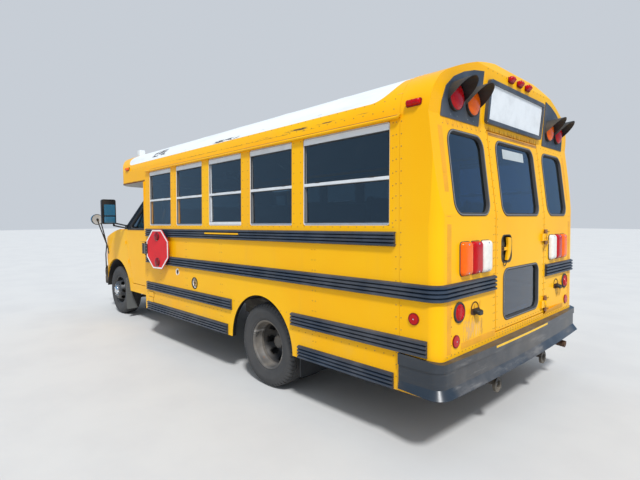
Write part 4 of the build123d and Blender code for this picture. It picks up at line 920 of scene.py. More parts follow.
# Rusty leaves and screws of the rear door's hinges
HINGE_HEIGHTS = (745, 1312)
with Piece("rear_hinge_leaves", "bus_body", "body_yellow") as piece:
    for z in [height + end * 46 for height in HINGE_HEIGHTS for end in (-1, 1)]:
        piece.drape(REAR, rear_spots(-538, -486, z - 17, z + 17), AHEAD, 4, HINGE_RUST, 1)
        piece.rivets(upright(REAR_X - 18, ((-526, z), (-500, z))), BACK, 5, RUSTY)
        piece.lathe((REAR_X - 14, -464, z - 16), UP, ((0, 12.4), (32, 12.4), (34, 9), (34.5, 3)), HINGE_RUST, 16)
with Piece("rear_door_hinge_leaves", "rear_door", "body_yellow") as piece:
    for z in HINGE_HEIGHTS:
        piece.plate(upright(REAR_X, rounded(-446, -392, z - 26, z + 26, 6, 3)), BACK, 4, HINGE_RUST, 1)
        piece.rivets(upright(REAR_X - 3.5, ((-432, z - 14), (-432, z + 14), (-406, z))), BACK, 5, RUSTY)


def rear_rivet_rows(piece, pitch, *ends):
    """Rivet rows of the rear wall, each from one (y, z) to another."""
    lines = [upright(REAR_X - 200, (end[:2], end[2:])) for end in ends]
    piece.rivet_rows(REAR, lines, AHEAD, pitch)


with Piece("rear_rivets", "bus_body", "body_yellow") as piece:
    for y, z0, z1 in ((478, 700, 2080), (1068, 640, 1040), (500, 700, 1360)):
        rear_rivet_rows(piece, 56, (y, z0, y, z1), (-y, z0, -y, z1))
    rear_rivet_rows(piece, 46, (-1120, 634, 1120, 634), (-440, 652, 440, 652))
    rear_rivet_rows(piece, 62, (-560, 2074, -1060, 2060), (560, 2074, 1060, 2060))
    rear_rivet_rows(piece, 74, (-520, 2500, 520, 2500))
with Piece("rear_door_rivets", "rear_door", "body_yellow") as piece:
    rear_rivet_rows(piece, 55, (438, 700, 438, 2070), (-438, 700, -438, 2070), (-400, 692, 400, 692),
                    (-400, 2074, 400, 2074))
    piece.drape(Surface("rear_door_glass"), rear_spots(-185, 203, 1918, 1990, 6), AHEAD, 0.6, STICKER, 0.2)


# Sides

WINDOWS = [(front - length, front) for front, length in ((2259, 577), (1548, 577), (837, 577), (126, 577), (-585, 825))]
ROOF_BOWS = (-1465, -740, -28, 683, 1394, 2105, 2400, 3090)

# Rivet rows of the side walls: panel joints, belt, window posts and skirt
for side, name, front in ((1, "left_rivets", 2380), (-1, "right_rivets", 3330)):
    with Piece(name, "bus_body", "body_yellow") as piece:
        lines = [(x, 470, x, 2080) for x in (-1462, -1500)]
        lines += [(-1440, z, front, z) for z in (1424, 1074, 1340, 728, 600)]
        lines += [(x, 1450, x, 2080) for rear, ahead in WINDOWS for x in (rear - 26, ahead + 26)]
        lines += [(x + dx, 470, x + dx, 1330) for x in (620, 1330, 1980, -700) for dx in (-16, 16)]
        lines.append((front - 24, 430, front - 24, 1400))
        y = side * (HALF_W + 150)
        for pitch, some in ((76, lines), (118, [(-1440, 2112, front, 2112)])):
            ends = [((x0, y, z0), (x1, y, z1)) for x0, z0, x1, z1 in some]
            piece.rivet_rows(SIDES, ends, (0, -side, 0), pitch)

# Rivets over the roof bows and the lap seam along the eave, and the seam strips
with Piece("roof_rivets", "bus_body", "roof_white") as piece:
    for x in [bow + dx for bow in ROOF_BOWS for dx in (-14, 14)]:
        for y in range(-1150, 1051, 100):
            for spot, normal in TOP.on([(x, y, 2900)], DOWN, 900):
                piece.rivets([spot], normal, 5, WHITE_METAL if abs(y) < 1125 else PAINT, 6)
    for side in (1, -1):
        lines = [((-1440, side * 1500, z), (3300, side * 1500, z)) for z in (2166, 2232)]
        piece.rivet_rows(TOP, lines, (0, -side, 0), 84)
with Piece("roof_strips", "bus_body", "roof_white") as piece:
    for x in ROOF_BOWS:
        found = []
        for angle in turns(-78, 78, 40):
            out = Vector((0, math.sin(angle), math.cos(angle)))
            found += TOP.on([Vector((x, 0, 1300)) + out * 2200], -out, 1600)
        found = [each for each in found if each[0].z > 2210]
        if len(found) > 3:
            piece.band(*zip(*found), ((-24, -1), (-23, 1.2), (23, 1.2), (24, -1)), ROOF_PAINT, loop=False)


def window_frame(piece, side, number, x0, x1):
    """Window frame with header, sash rails and rubber; the third window's is newer and white."""
    def at(x, z, depth):
        return Vector((x, side * (HALF_W - 12 * max(z - 1418, 0) / 708 - depth), z))

    normal = Vector((0, side, 0.017)).normalized()
    path = [at(x, z, 6) for x, z in rounded(x0 + 1, x1 - 1, 1434, 2094, 22)][::side]
    section = ((0, -34), (0, 1), (-1, 2), (-4, 2), (-5, 1), (-5, -34))
    piece.band(path, normal, section, FRAME_WHITE, smooth=False)
    piece.band(path, normal, ((-5, -34), (-5, -3), (-11, -4), (-12, -34)), GASKET, smooth=False)
    a, b = x0 + 8, x1 - 8
    low, wide, sill, post = (1468, 16, FRAME_WHITE, FRAME_WHITE) if number == 2 else (1452, 6, ALUMINIUM, GASKET_GREY)
    bars = [(a, b, 2044, 2086, 8, 7, FRAME_WHITE), (a, b, 2036, 2044, 16, 6, GASKET),
            (a, b, 1729, 1752, 14, 9, FRAME_WHITE), (a, b, 1724, 1729, 18, 8, GASKET),
            (a, b, 1441, low, 14, 8, sill), (a, b, low, low + 5, 20, 8, GASKET)]
    for u, v in ((a, a + 6), (b - wide, b)):
        bars += [(u, v, low, 1729, 20, 7, post), (u, v, 1752, 2040, 24, 7, post)]
    if number < 2:
        bars.append((b - 26, b - 8, 1441, 1729, 24, 5, RUST_STRIP))
    for x in (a + (b - a) * 0.18, b - (b - a) * 0.18):
        bars.append((x - 22, x + 22, 1752, 1760, 12, 10, HOOD_BLACK))
    for u, v, z0, z1, depth, thick, material in bars:
        outline = [at(u, z0, depth), at(v, z0, depth), at(v, z1, depth), at(u, z1, depth)]
        piece.plate(outline, normal, thick, material, 2.5, sink=14)


with Piece("side_window_frames", "bus_body", "window_frame", "side_windows") as piece:
    for side in (1, -1):
        for number, span in enumerate(WINDOWS):
            window_frame(piece, side, number, *span)

# Brass filler cap in its recess, with the recess's rolled edge
with Piece("fuel_filler", "bus_body", "body_yellow") as piece:
    x, z = 1151, 823
    for section, material in ((((-1, 62), (3, 62), (6, 58), (3, 53), (-4, 52), (-4, 58)), HOOD_BLACK),
                              (((-4, 56), (-4, 51), (-26, 44), (-28, 50)), FRAME_WHITE)):
        piece.ringed(Vector((x, HALF_W, z)), LEFT, [section] * 40, circle(40), material)
    piece.turned((x, HALF_W - 32, z), LEFT, (((0, 50), (3, 50), (4, 38)), POCKET_GREY, 32),
                 (((3, 35), (20, 35), (24, 32), (25, 24), (26, 3)), BRASS, 32))
    piece.box((x - 30, x + 30), (HALF_W - 12, HALF_W - 2), (z - 7, z + 7), HOOD_BLACK, 3)
    piece.tube([(1172, HALF_W - 6, 800), (1180, HALF_W - 3, 782), (1176, HALF_W - 4, 770)], 3, HOOD_BLACK)

# Reflective strips, a worn ring and latch plates
with Piece("side_fittings", "bus_body", "body_yellow") as piece:
    piece.drape(SIDES, side_spots(280, 922, 1356, 1378), RIGHT, 1, YELLOW_TAPE, 0.3)
    piece.drape(SIDES, side_spots(-1000, -420, 1356, 1378, -1), LEFT, 1, YELLOW_TAPE, 0.3)
    for steps, wide in ((range(20, 37), 8), (range(38, 44), 7)):
        angles = [2 * math.pi * i / 26 for i in steps]
        path = [Vector((1540 + 34 * math.cos(a), HALF_W, 912 + 34 * math.sin(a))) for a in angles]
        section = ((-wide - 1, -0.5), (-wide, 2), (wide - 2, 2), (wide - 1, -0.5))
        piece.band(path, LEFT, section, BORDER_WHITE, loop=False)
    piece.lathe((1540, HALF_W, 912), LEFT, ((-1, 24), (1.5, 24), (2, 20)), RUSTY, 24)
    for x0, z0, z1 in ((2206, 484, 545), (2186, 553, 614)):
        # Each latch plate sits on a slightly larger dark brown plate that shows round its edges as painted shade.
        piece.drape(SIDES, side_spots(x0 - 7, 2342, z0 - 4, z1 + 3, 1, 4), RIGHT, 2, RIVET_PAINT, 0.5)
        piece.drape(SIDES, side_spots(x0, 2336, z0, z1, 1, 4), RIGHT, 7, PAINT, 1)
        piece.rivets([(x, HALF_W + 7, (z0 + z1) / 2) for x in (x0 + 14, 2322)], LEFT, 5)
    piece.drape(SIDES, side_spots(2244, 2300, 700, 742, 1, 8), RIGHT, 3, PAINT, 1)

# Red octagon with a white border and dark lamps on both faces
BLADE_X = -268.5
STOP_TURN = Matrix.Translation((2160, 1322, 1158)) @ Matrix.Rotation(math.radians(7), 4, "Z")


def on_arm(x, y, z):
    return STOP_TURN @ Vector((x, y, z))


def octagon(radius, y):
    far = radius / math.cos(math.radians(22.5))
    corners = [math.radians(22.5 + 45 * i) for i in range(8)]
    return [on_arm(BLADE_X + far * math.cos(a), y, far * math.sin(a)) for a in corners]


with Piece("stop_blade", "stop_arm", "stop_red", "stop_arm") as piece:
    piece.skin([octagon(r, y) for r, y in ((227, -5), (228.5, -4), (228.5, 4), (227, 5))], STOP_RED, smooth=False)
    for way in (1, -1):
        border = [octagon(r, y * way) for r, y in ((226, 5.2), (226, 6.4), (210, 6.4), (210, 5.2), (226, 5.2))]
        piece.skin(border, BORDER_WHITE, caps=False, smooth=False)
        axis = STOP_TURN.to_3x3() @ Vector((0, way, 0))
        for dz in (-150, 150):
            piece.turned(on_arm(BLADE_X, 4 * way, dz), axis,
                         (((0, 50), (4, 50), (7, 47), (7, 44)), HOOD_BLACK, 32),
                         (((3, 45), (12, 43), (17, 34), (19.5, 18), (20, 0.8)), DARK_RED_LENS, 32))
            for a in (math.radians(20), math.radians(140), math.radians(260)):
                screw = on_arm(BLADE_X + 46 * math.cos(a), 10 * way, dz + 46 * math.sin(a))
                piece.lathe(screw, axis, ((0, 4), (2.5, 3.5), (3.4, 1.5)), CHROME, 8)
    out = STOP_TURN.to_3x3() @ LEFT
    arm = [on_arm(x, 4, z) for x, z in ((-62, -58), (-8, -58), (-8, 58), (-62, 58))]
    piece.plate(arm, out, 6, HOOD_BLACK, 2, sink=12)
    piece.lathe(on_arm(0, 0, -64), UP, ((0, 12), (128, 12)), STEEL, 20)
    piece.rivets([on_arm(-36, 10, z) for z in (-40, 0, 40)], out, 8)
with Piece("stop_arm_housing", "bus_body", "trim_black") as piece:
    piece.box((2176, 2292), (HALF_W - 2, 1310), (1086, 1230), HOOD_BLACK, 6)
    for z in (1079, 1225):
        piece.box((2142, 2292), (HALF_W - 2, 1337), (z, z + 12), HOOD_BLACK, 3)
    piece.rivets([(x, 1309, z) for x in (2200, 2268) for z in (1110, 1206)], LEFT, 7)

# Rolled edge of the drip rail along both eaves, with the caulk line above it
with Piece("drip_rails", "bus_body", "body_yellow") as piece:
    for side, front in ((1, 2340), (-1, 3300)):
        path = [(-1500, side * 1224, 2124), (-1490, side * 1226, 2110)]
        piece.tube(path + [(x, side * 1227, 2106) for x in (-1470, -600, 400, 1400, front)], 10, PAINT, 12)
        spots = [(x, side * 1400, 2124) for x in range(-1480, front, 120)]
        piece.strip(SIDES, spots, (0, -side, 0), ((-2.5, -1), (-2, 1.5), (2, 1.5), (2.5, -1)), RIVET_PAINT)


# Cab and front end

MIRROR_CASE = ((3666, 8), (3660, 3), (3662, 0), (3708, 0), (3722, 5), (3733, 16), (3740, 34))
CROSSVIEW_DOME = [(-40, 70), (-40, 80)] + [(84 * math.sin(a), 84 * math.cos(a)) for a in turns(-24, 84, 9)]
CROSSVIEW_BACK = ((-40, 1), (-40.6, 60), (-43, 66), (-43, 76), (-40, 79), (-30, 80), (-26, 79))
CROSSVIEW_RIM = ((-44, 76), (-45, 79), (-41, 84), (-34, 85), (-31, 83), (-36, 80))


def side_mirror(piece, side):
    """A flat mirror over a convex one in one case, on two arms."""
    y0, y1 = pair(side, 1127, 1325)
    rings = [upright(x, rounded(y0 + cut, y1 - cut, 1457 + cut, 1817 - cut, max(26 - cut, 6), 4))
             for x, cut in MIRROR_CASE]
    piece.skin(rings, HOOD_BLACK)
    a, b = pair(side, 1139, 1291)
    for z0, z1, bulge in ((1583, 1742, 0.6), (1471, 1566, 5)):
        glass = [upright(3665.5 - lift, rounded(a + cut, b - cut, z0 + cut, z1 - cut, 9, 3))
                 for cut, lift in ((0, 0), (0, 0.4), (8, 0.4 + bulge * 0.5), (24, 0.4 + bulge))]
        piece.skin(glass, MIRROR_GLASS)
    piece.box((3661.5, 3668), (a - 4, b + 4), (1568, 1581), HOOD_BLACK, 1)
    for z0, z1 in ((1475, 1425), (1435, 1388)):
        route = ((3700, side * 1160, z0), (3690, side * 1060, (z0 + z1) / 2), (3640, side * 975, z1))
        piece.tube(route, 11, HOOD_BLACK, 10)
    piece.rod((3700, side * 1150, 1425), (3700, side * 1150, 1490), 14, HOOD_BLACK, 12)
    piece.box((3600, 3668), (side * 975, side * 1004), (1366, 1442), HOOD_BLACK, 5)
    piece.rivets([(x, side * 1004, 1404) for x in (3618, 3650)], (0, side, 0), 8, STEEL, 6)


def crossview_mirror(piece, side):
    """A round mirror on a tripod stand."""
    ball, knee = Vector((4400, side * 1172, 1530)), Vector((4400, side * 1030, 1130))
    piece.turned(ball, AHEAD, (CROSSVIEW_DOME, MIRROR_GLASS, 36), (CROSSVIEW_BACK, MIRROR_BACK, 36))
    piece.ringed(ball, AHEAD, [CROSSVIEW_RIM] * 36, circle(36), HOOD_BLACK)
    piece.lathe(ball, BACK, ((40, 18), (52, 18), (55, 12), (56, 4)), HOOD_BLACK, 16)
    for route in (((4354, side * 1172, 1530), (4362, side * 1150, 1450), knee),
                  ((4380, side * 1112, 1474), (4390, side * 1075, 1330), knee),
                  (knee, (4480, side * 1022, 960), (4588, side * 985, 757)),
                  (knee, (4398, side * 1012, 1060), (4395, side * 996, 1004))):
        piece.tube(route, 9, HOOD_BLACK, 10)
    piece.box((4372, 4418), (side * 985, side * 1008), (975, 1020), HOOD_BLACK, 4)


with Piece("mirror_set", "bus_body", "trim_black", "mirrors") as piece:
    for side in (1, -1):
        side_mirror(piece, side)
        crossview_mirror(piece, side)

# Seal round the driver's window, a black patch behind the handle, the handle and the moulding
DOOR_WINDOW = ((2510, 1394), (3480, 1394), (2950, 1850), (2510, 1850))
DOOR_SEAL = ((16, -1), (15, 3), (10, 5), (3, 4), (-1, 0), (-4, -16), (2, -20), (5, -2))
HANDLE_PATCH = ((2490, 1282), (2600, 1282), (2612, 1290), (2612, 1316), (2600, 1324), (2490, 1324), (2480, 1316),
                (2480, 1290))
HANDLE = [(2492, 1006, 1306), (2510, 1034, 1308), (2550, 1040, 1308), (2590, 1034, 1308), (2602, 1006, 1306)]
with Piece("driver_door_trim", "driver_door", "trim_black") as piece:
    path, normals = [], []
    for i, (x0, z0) in enumerate(DOOR_WINDOW):
        x1, z1 = DOOR_WINDOW[(i + 1) % 4]
        for k in range(8):
            x, z = x0 + (x1 - x0) * (k + 0.5) / 8, z0 + (z1 - z0) * (k + 0.5) / 8
            away = Vector((x - 2800, 0, z - 1580)).normalized() * 6
            for spot, normal in DOOR.on([(x + away.x, 1400, z + away.z)], RIGHT):
                path.append(spot - away)
                normals.append(normal)
    piece.band(path, normals, DOOR_SEAL, GASKET, smooth=False)
    piece.drape(DOOR, [(x, 1400, z) for x, z in HANDLE_PATCH], RIGHT, 4, HOOD_BLACK, 1)
    piece.tube(HANDLE, 10, HOOD_BLACK, 10)
    moulding = ((-9, -1), (-9, 4), (-6, 7), (6, 7), (9, 4), (9, -1))
    piece.strip(DOOR, [(x, 1400, 1376) for x in range(2470, 3600, 60)], RIGHT, moulding, HOOD_BLACK)
with Piece("driver_door_hinge_leaves", "bus_body", "body_yellow") as piece:
    for z in (900, 1180):
        x = 3484 + (z - 700) * 0.31
        piece.rod((x, 1012, z - 26), (x, 1012, z + 26), 6, PAINT)

# Rounded black bumper that follows the nose, with a groove and two bolts
BUMPER_SECTION = ((-142, -52), (-143, -18), (-138, -8), (-118, -2), (-70, 0), (-26, -1), (-20, -7), (-4, -7), (2, -1),
                  (60, 0), (108, -2), (132, -9), (142, -20), (143, -52))
with Piece("front_bumper_skin", "bus_body", "bumper_grey", "front_bumper") as piece:
    node = Surface("front_bumper")
    found = []
    for turn in turns(-76, 76, 60):
        out = Vector((math.cos(turn), math.sin(turn) * 1.9, 0)).normalized()
        found += [each for each in node.on([Vector((4250, 0, 614)) + out * 1600], -out, 1600) if each[1].dot(out) > 0.2]
    smooth = [mean_normal(found[max(i - 2, 0):i + 3]) for i in range(len(found))]
    piece.band([spot for spot, _ in found], smooth, BUMPER_SECTION, BUMPER_BLACK, loop=False)
    for spot, normal in node.on([(5200, -420, 560), (5200, 420, 560)], BACK, 900):
        piece.rivets([spot], normal, 14, STEEL, 6)

# Radiator behind the bars, bar caps and headlamp bowls in their bezels
BAR_CAP = ((-6, -4), (-5, 3), (-2, 6), (2, 6), (5, 3), (6, -4))
BEZEL = ((9, -3), (8, 5), (4, 8), (-4, 7), (-7, 3), (-8, -14))
LAMP_BOWL = ((0, 24), (10, 46), (30, 66), (60, 80), (64, 82), (66, 80), (62, 76), (32, 61), (12, 41), (4, 12))
with Piece("grille_inserts", "bus_body", "trim_black") as piece:
    piece.box((4700, 4712), (-492, 492), (772, 1062), HOOD_BLACK, 3)
    piece.box((4560, 4640), (-300, 300), (700, 1040), GASKET_GREY, 8)
    piece.box((4660, 4672), (-860, 860), (700, 790), HOOD_BLACK, 3)
    grille = Surface("grille")
    for z in range(782, 1053, 45):
        piece.strip(grille, [(5200, y, z) for y in range(-460, 461, 46)], BACK, BAR_CAP, TRIM_BLACK, 900)
    for side in (1, -1):
        found = grille.on(upright(5200, [(side * y, z) for y, z in rounded(492, 768, 842, 1038, 16, 3)]), BACK, 900)
        piece.band(*zip(*found[::side]), BEZEL, CHROME)
        piece.box((4690, 4696), (side * 498, side * 762), (846, 1034), HOOD_BLACK, 1)
        piece.lathe((4700, side * 636, 940), AHEAD, LAMP_BOWL, CHROME, 36)
        piece.lathe((4704, side * 636, 940), AHEAD, ((0, 14), (26, 14), (32, 10), (34, 4)), CLEAR_LENS)
with Piece("front_turn_lamps", "bus_body", "lamp_lens") as piece:
    fenders = Surface("front_fenders")
    for side in (1, -1):
        found = []
        for along, z in rounded(-70, 70, 862, 1020, 18, 3):
            turn = math.radians(52 - along * 0.17)
            out = Vector((math.cos(turn), side * math.sin(turn), 0))
            found += fenders.on([Vector((4380, side * 555, z)) + out * 900], -out, 800)
        piece.plate([spot for spot, _ in found], mean_normal(found), 9, AMBER_LENS, 4, sink=12)

with Piece("windscreen_wipers", "bus_body", "trim_black") as piece:
    for y0, y1 in ((330, 760), (-330, 190)):
        found = WINDSCREEN.on([(4400, y0 + (y1 - y0) * k / 8, 1436 + 8 * k) for k in range(9)], BACK, 1400)
        piece.tube([spot + normal * 14 for spot, normal in found], 5, HOOD_BLACK)
        piece.tube([spot + normal * 26 for spot, normal in found[:6]], 4, HOOD_BLACK)
        pivot, normal = found[0]
        piece.rod(pivot - UP * 22, pivot + normal * 34, 11, HOOD_BLACK, 12)

# Panes and seals of the two entrance door leaves, each on its own leaf
LEAF_SEAL = ((14, -1), (13, 4), (4, 5), (0, 1), (-8, -15), (-8, -22), (2, -24))
for word, x0, x1, hinge_x in (("front", 2877, 3260, 3252), ("rear", 2480, 2863, 2488)):
    with (Piece(f"entrance_{word}_seals", f"entrance_door_{word}", "trim_black") as seals,
          Piece(f"entrance_{word}_panes", f"entrance_door_{word}", "tinted_glass") as panes):
        for z0, z1 in ((580, 1060), (1130, 1900)):
            edge = [Vector((x, -1200, z)) for x, z in rounded(x0 + 60, x1 - 60, z0, z1, 3, 2)]
            panes.plate(edge, RIGHT, 2.5, GLASS, 0.5, sink=2.5)
            path = [Vector((x, -1219, z)) for x, z in rounded(x0 + 60, x1 - 60, z0, z1, 8, 3)][::-1]
            seals.band(path, RIGHT, LEAF_SEAL, GASKET, smooth=False)
        for z in (500, 1250, 1930):
            seals.rod((hinge_x, -1222, z - 35), (hinge_x, -1222, z + 35), 7, HOOD_BLACK)

with Piece("roof_box", "bus_body", "roof_white") as piece:
    top = TOP.hit((3080, 965, 3000), DOWN, 1500)[0].z + 70
    rings = []
    for z, cut in ((top - 150, 0), (top - 12, 0), (top - 3, 4), (top, 12)):
        flat = rounded(3030 + cut, 3130 - cut, 925 + cut, 1005 - cut, 12, 3)
        rings.append([Vector((x, y, z)) for x, y in flat])
    piece.skin(rings, WHITE_METAL)

# Yellow strip on the upper rail under the third window
with Piece("rail_strip", "bus_body", "body_yellow") as piece:
    section = ((-7, -14), (-7, 0), (-6, 1.5), (6, 1.5), (7, 0), (7, -14))
    piece.band([Vector((x, 1241.5, 1357)) for x in (280, 480, 680, 885)], LEFT, section, PAINT, loop=False)


# Wheels

TREAD_PITCHES = 56
TREAD_STEPS = (0.0, 0.05, 0.26, 0.31, 0.65)      # places in one pitch; the second and third lie in the slot
SLOT_DEPTH = 8
ZIGZAG = 2.2
SIDEWALL = (
    (80, 213), (80, 221), (90, 222), (94, 231), (96.5, 240), (98.6, 241), (99.4, 247), (103, 262), (107, 277),
    (109.4, 290), (110, 292), (110, 303), (109.2, 305), (108.6, 313), (107.4, 323), (105.8, 325), (104, 334),
)
SHOULDER = ((102, 343), (97, 351.5), (92, 359), (84, 366), (72, 370))
RIBS = ((55, 370.6), (52, 362), (47, 362), (44, 370.8), (22, 371), (19, 362.5), (14, 362.5), (11, 371))
RIM_SECTION = (
    (88, 214), (87, 219), (84, 220), (80, 216), (78, 209), (70, 205), (24, 203), (14, 190), (-24, 190), (-34, 203),
    (-70, 205), (-78, 209), (-80, 216), (-84, 220), (-88, 216), (-86, 206), (-78, 198), (-36, 195), (-24, 182),
    (12, 182), (24, 193), (70, 198), (80, 201), (85, 207),
)
DISC = ((8, 183), (20, 180), (30, 176), (45, 170), (75, 157), (97, 146), (112, 138), (125, 130), (130, 120), (131, 60))
HAND_HOLES = {3: 5, 4: 7, 5: 5}                  # rows of the disc that a hole cuts, with its width in steps
DISC_STEPS = 96
REAR_HUB = ((-6, 78), (14, 78), (16, 68), (70, 66), (76, 62), (84, 61), (88, 57), (97, 55), (99, 50), (99.5, 1))
FRONT_CAP = ((71, 66), (146, 66), (150, 64), (153, 55), (158, 50), (163, 43), (166, 30), (167, 1))


def make_tyre(piece, centre, axis):
    sections, angles = [], []
    for pitch in range(TREAD_PITCHES):
        for k, part in enumerate(TREAD_STEPS):
            angles.append(2 * math.pi * (pitch + part) / TREAD_PITCHES)
            drop = SLOT_DEPTH if k in (1, 2) else 0
            sway = ZIGZAG * (1 - 2 * abs(2 * part - 1))
            outer = list(SIDEWALL) + [(along, radius - drop) for along, radius in SHOULDER]
            tread = [(along + sway, radius) for along, radius in RIBS]
            tread += [(sway - along, radius) for along, radius in RIBS[::-1]]
            sections.append(outer + tread + [(-along, radius) for along, radius in outer[::-1]])
    piece.ringed(centre, axis, sections, angles, TYRE_RUBBER)


def make_disc(piece, centre, axis, way):
    """The rim's dished disc, two skins thick, with eight hand holes."""
    def skin(depth):
        return [[piece.shape.verts.new(centre + axis * (way * along + depth) + around(axis, angle) * radius)
                 for angle in circle(DISC_STEPS)] for along, radius in DISC]

    def open_at(row, step):
        wide = HAND_HOLES.get(row, 0)
        return (step + wide // 2) % (DISC_STEPS // 8) < wide

    front, back = skin(2.5), skin(-2.5)
    last = len(DISC) - 1
    faces = []
    for row in range(last):
        for step in range(DISC_STEPS):
            if open_at(row, step):
                continue
            after = (step + 1) % DISC_STEPS
            corners = ((row, step), (row, after), (row + 1, after), (row + 1, step))
            faces.append(piece.shape.faces.new([front[r][s] for r, s in corners]))
            faces.append(piece.shape.faces.new([back[r][s] for r, s in corners[::-1]]))
            beside = ((row - 1, step), (row, after), (row + 1, step), (row, (step - 1) % DISC_STEPS))
            for i, (r, s) in enumerate(beside):
                if r < 0 or r >= last or open_at(r, s):
                    (r0, s0), (r1, s1) = corners[i], corners[(i + 1) % 4]
                    faces.append(piece.shape.faces.new((front[r0][s0], back[r0][s0], back[r1][s1], front[r1][s1])))
    piece.paint(faces, WHEEL_PAINT)


def lug_nuts(piece, centre, axis, start, material, ring=82.5, size=12):
    washer = ((-3, size + 4), (2, size + 4), (3, size), (15, size), (17, size * 0.7))
    stud = ((15, size * 0.55), (23, size * 0.55), (24, size * 0.35))
    for i in range(8):
        spot = centre + axis * start + around(axis, 2 * math.pi * (i + 0.5) / 8) * ring
        piece.turned(spot, axis, (washer, material, 6), (stud, material, 8))


def make_rim(piece, centre, axis, way, barrel):
    """A rim with its disc and valve stem."""
    piece.ringed(centre, axis, [RIM_SECTION] * 72, circle(72), barrel)
    make_disc(piece, centre, axis, way)
    out = around(axis, 1.2)
    piece.tube([centre + axis * along + out * r for along, r in ((40, 196), (62, 190), (84, 186))], 4, GASKET)


for side, word in ((1, "left"), (-1, "right")):
    axis = Vector((0, side, 0))
    with (Piece(f"{word}_rear_rim_dishes", f"rear_{word}_wheels", "wheel_black", f"rear_{word}_rims") as rims,
          Piece(f"{word}_rear_tyre_treads", f"rear_{word}_wheels", "tyre_rubber", f"rear_{word}_tyres") as tyres):
        for y, way in ((1052, -1), (790, 1)):
            centre = Vector((0, side * y, TYRE_R))
            make_tyre(tyres, centre, axis)
            make_rim(rims, centre, axis, way, BARREL_PAINT)
        middle = Vector((0, side * 921, TYRE_R))
        rims.lathe(middle, axis, REAR_HUB, BARREL_PAINT, 40)
        lug_nuts(rims, middle, axis, 4, RUSTY)
        lug_nuts(rims, middle, axis, 78, RUSTY, ring=48, size=6)
    with (Piece(f"{word}_front_rim_dish", f"front_{word}_wheel", "wheel_black", f"front_{word}_rim") as rim,
          Piece(f"{word}_front_tyre_tread", f"front_{word}_wheel", "tyre_rubber", f"front_{word}_tyre") as tyre):
        centre = Vector((WHEELBASE, side * 873, FRONT_AXLE_Z))
        make_tyre(tyre, centre, axis)
        make_rim(rim, centre, axis, 1, WHEEL_PAINT)
        rim.lathe(centre, axis, FRONT_CAP, CHROME, 40)
        lug_nuts(rim, centre, axis, 133, CHROME)

# Strips and bolts that hold the mud flaps, with a rolled lower edge
with Piece("mud_flap_strips", "bus_body", "flap_rubber") as piece:
    for side in (1, -1):
        y0, y1 = pair(side, 686, 1154)
        piece.box((-474, -471), (y0, y1), (640, 676), BARREL_PAINT, 1)
        piece.rivets([(-474, y0 + 30 + 82 * i, 658) for i in range(6)], BACK, 9, STEEL, 6)
        piece.tube([(-466, y0 - 4, 203), (-466, (y0 + y1) / 2, 202), (-466, y1 + 4, 203)], 5, FLAP_RUBBER)
        piece.tube([(3596, side * y, z) for y, z in ((1028, 186), (1033, 420), (1035, 640))], 5, FLAP_RUBBER)
        piece.rivets([(3592, side * y, z) for y, z in ((1010, 610), (1008, 520), (1000, 430))], BACK, 8, STEEL, 6)

# Dark liners over the front wheels, and a near-black inner wall that closes the arch off as painted shade, with a notch
# in it for the arms
LINER_SECTION = ((553, 528), (970, 528), (976, 533), (970, 536), (553, 536))
LINER_NOTCH = ((-215, 463), (-200, 600), (200, 600), (215, 463))
with Piece("front_arch_liners", "bus_body", "chassis_black") as piece:
    for side in (1, -1):
        centre = Vector((WHEELBASE, 0, TYRE_R))
        rings = []
        for turn in turns(8, 172, 32):
            out = Vector((math.cos(turn), 0, math.sin(turn)))
            rings.append([centre + out * r + Vector((0, side * y, 0)) for y, r in LINER_SECTION])
        piece.skin(rings, HOOD_BLACK)
        wall = [(531 * math.cos(a), TYRE_R + 531 * math.sin(a)) for a in turns(10, 170, 24)] + list(LINER_NOTCH)
        piece.plate([(WHEELBASE + x, side * 552, z) for x, z in wall[::-side]], LEFT * side, 6, HOOD_BLACK)


# Inside

SEAT_STATIONS = [1950 - 720 * i for i in range(5)]
PAD_GRID = 26            # spacing of the points of a pad before it is blown up
PAD_CAP = 0.014          # how far a point of a pad may move, in metres
CLOTH_FRAMES = 20
CLOTH = {"quality": 4, "mass": 0.4, "tension_stiffness": 18, "compression_stiffness": 18, "bending_stiffness": 0.6,
         "use_pressure": True, "uniform_pressure_force": 4}


def pad_points(size):
    """Points of a box with rounded edges about its middle, as rings along Y."""
    radius = min(size[0], size[2]) * 0.32
    nx, ny, nz = (max(3, round(s / PAD_GRID)) for s in size)
    flat = [(-1 + 2 * i / nx, -1) for i in range(nx)] + [(1, -1 + 2 * i / nz) for i in range(nz)]
    flat += [(-u, -v) for u, v in flat]
    rings = []
    for i in range(-3, ny + 4):
        along = min(max(i / ny, 0), 1) - 0.5
        share = 1 - max(-i, i - ny, 0) / 4
        ring = []
        for u, v in flat:
            spot = Vector((u * size[0] / 2 * share, along * size[1], v * size[2] / 2 * share))
            core = Vector([max(radius - s / 2, min(s / 2 - radius, place)) for s, place in zip(size, spot)])
            off = spot - core
            ring.append(core + off.normalized() * radius if off.length > radius else spot)
        rings.append(ring)
    return rings


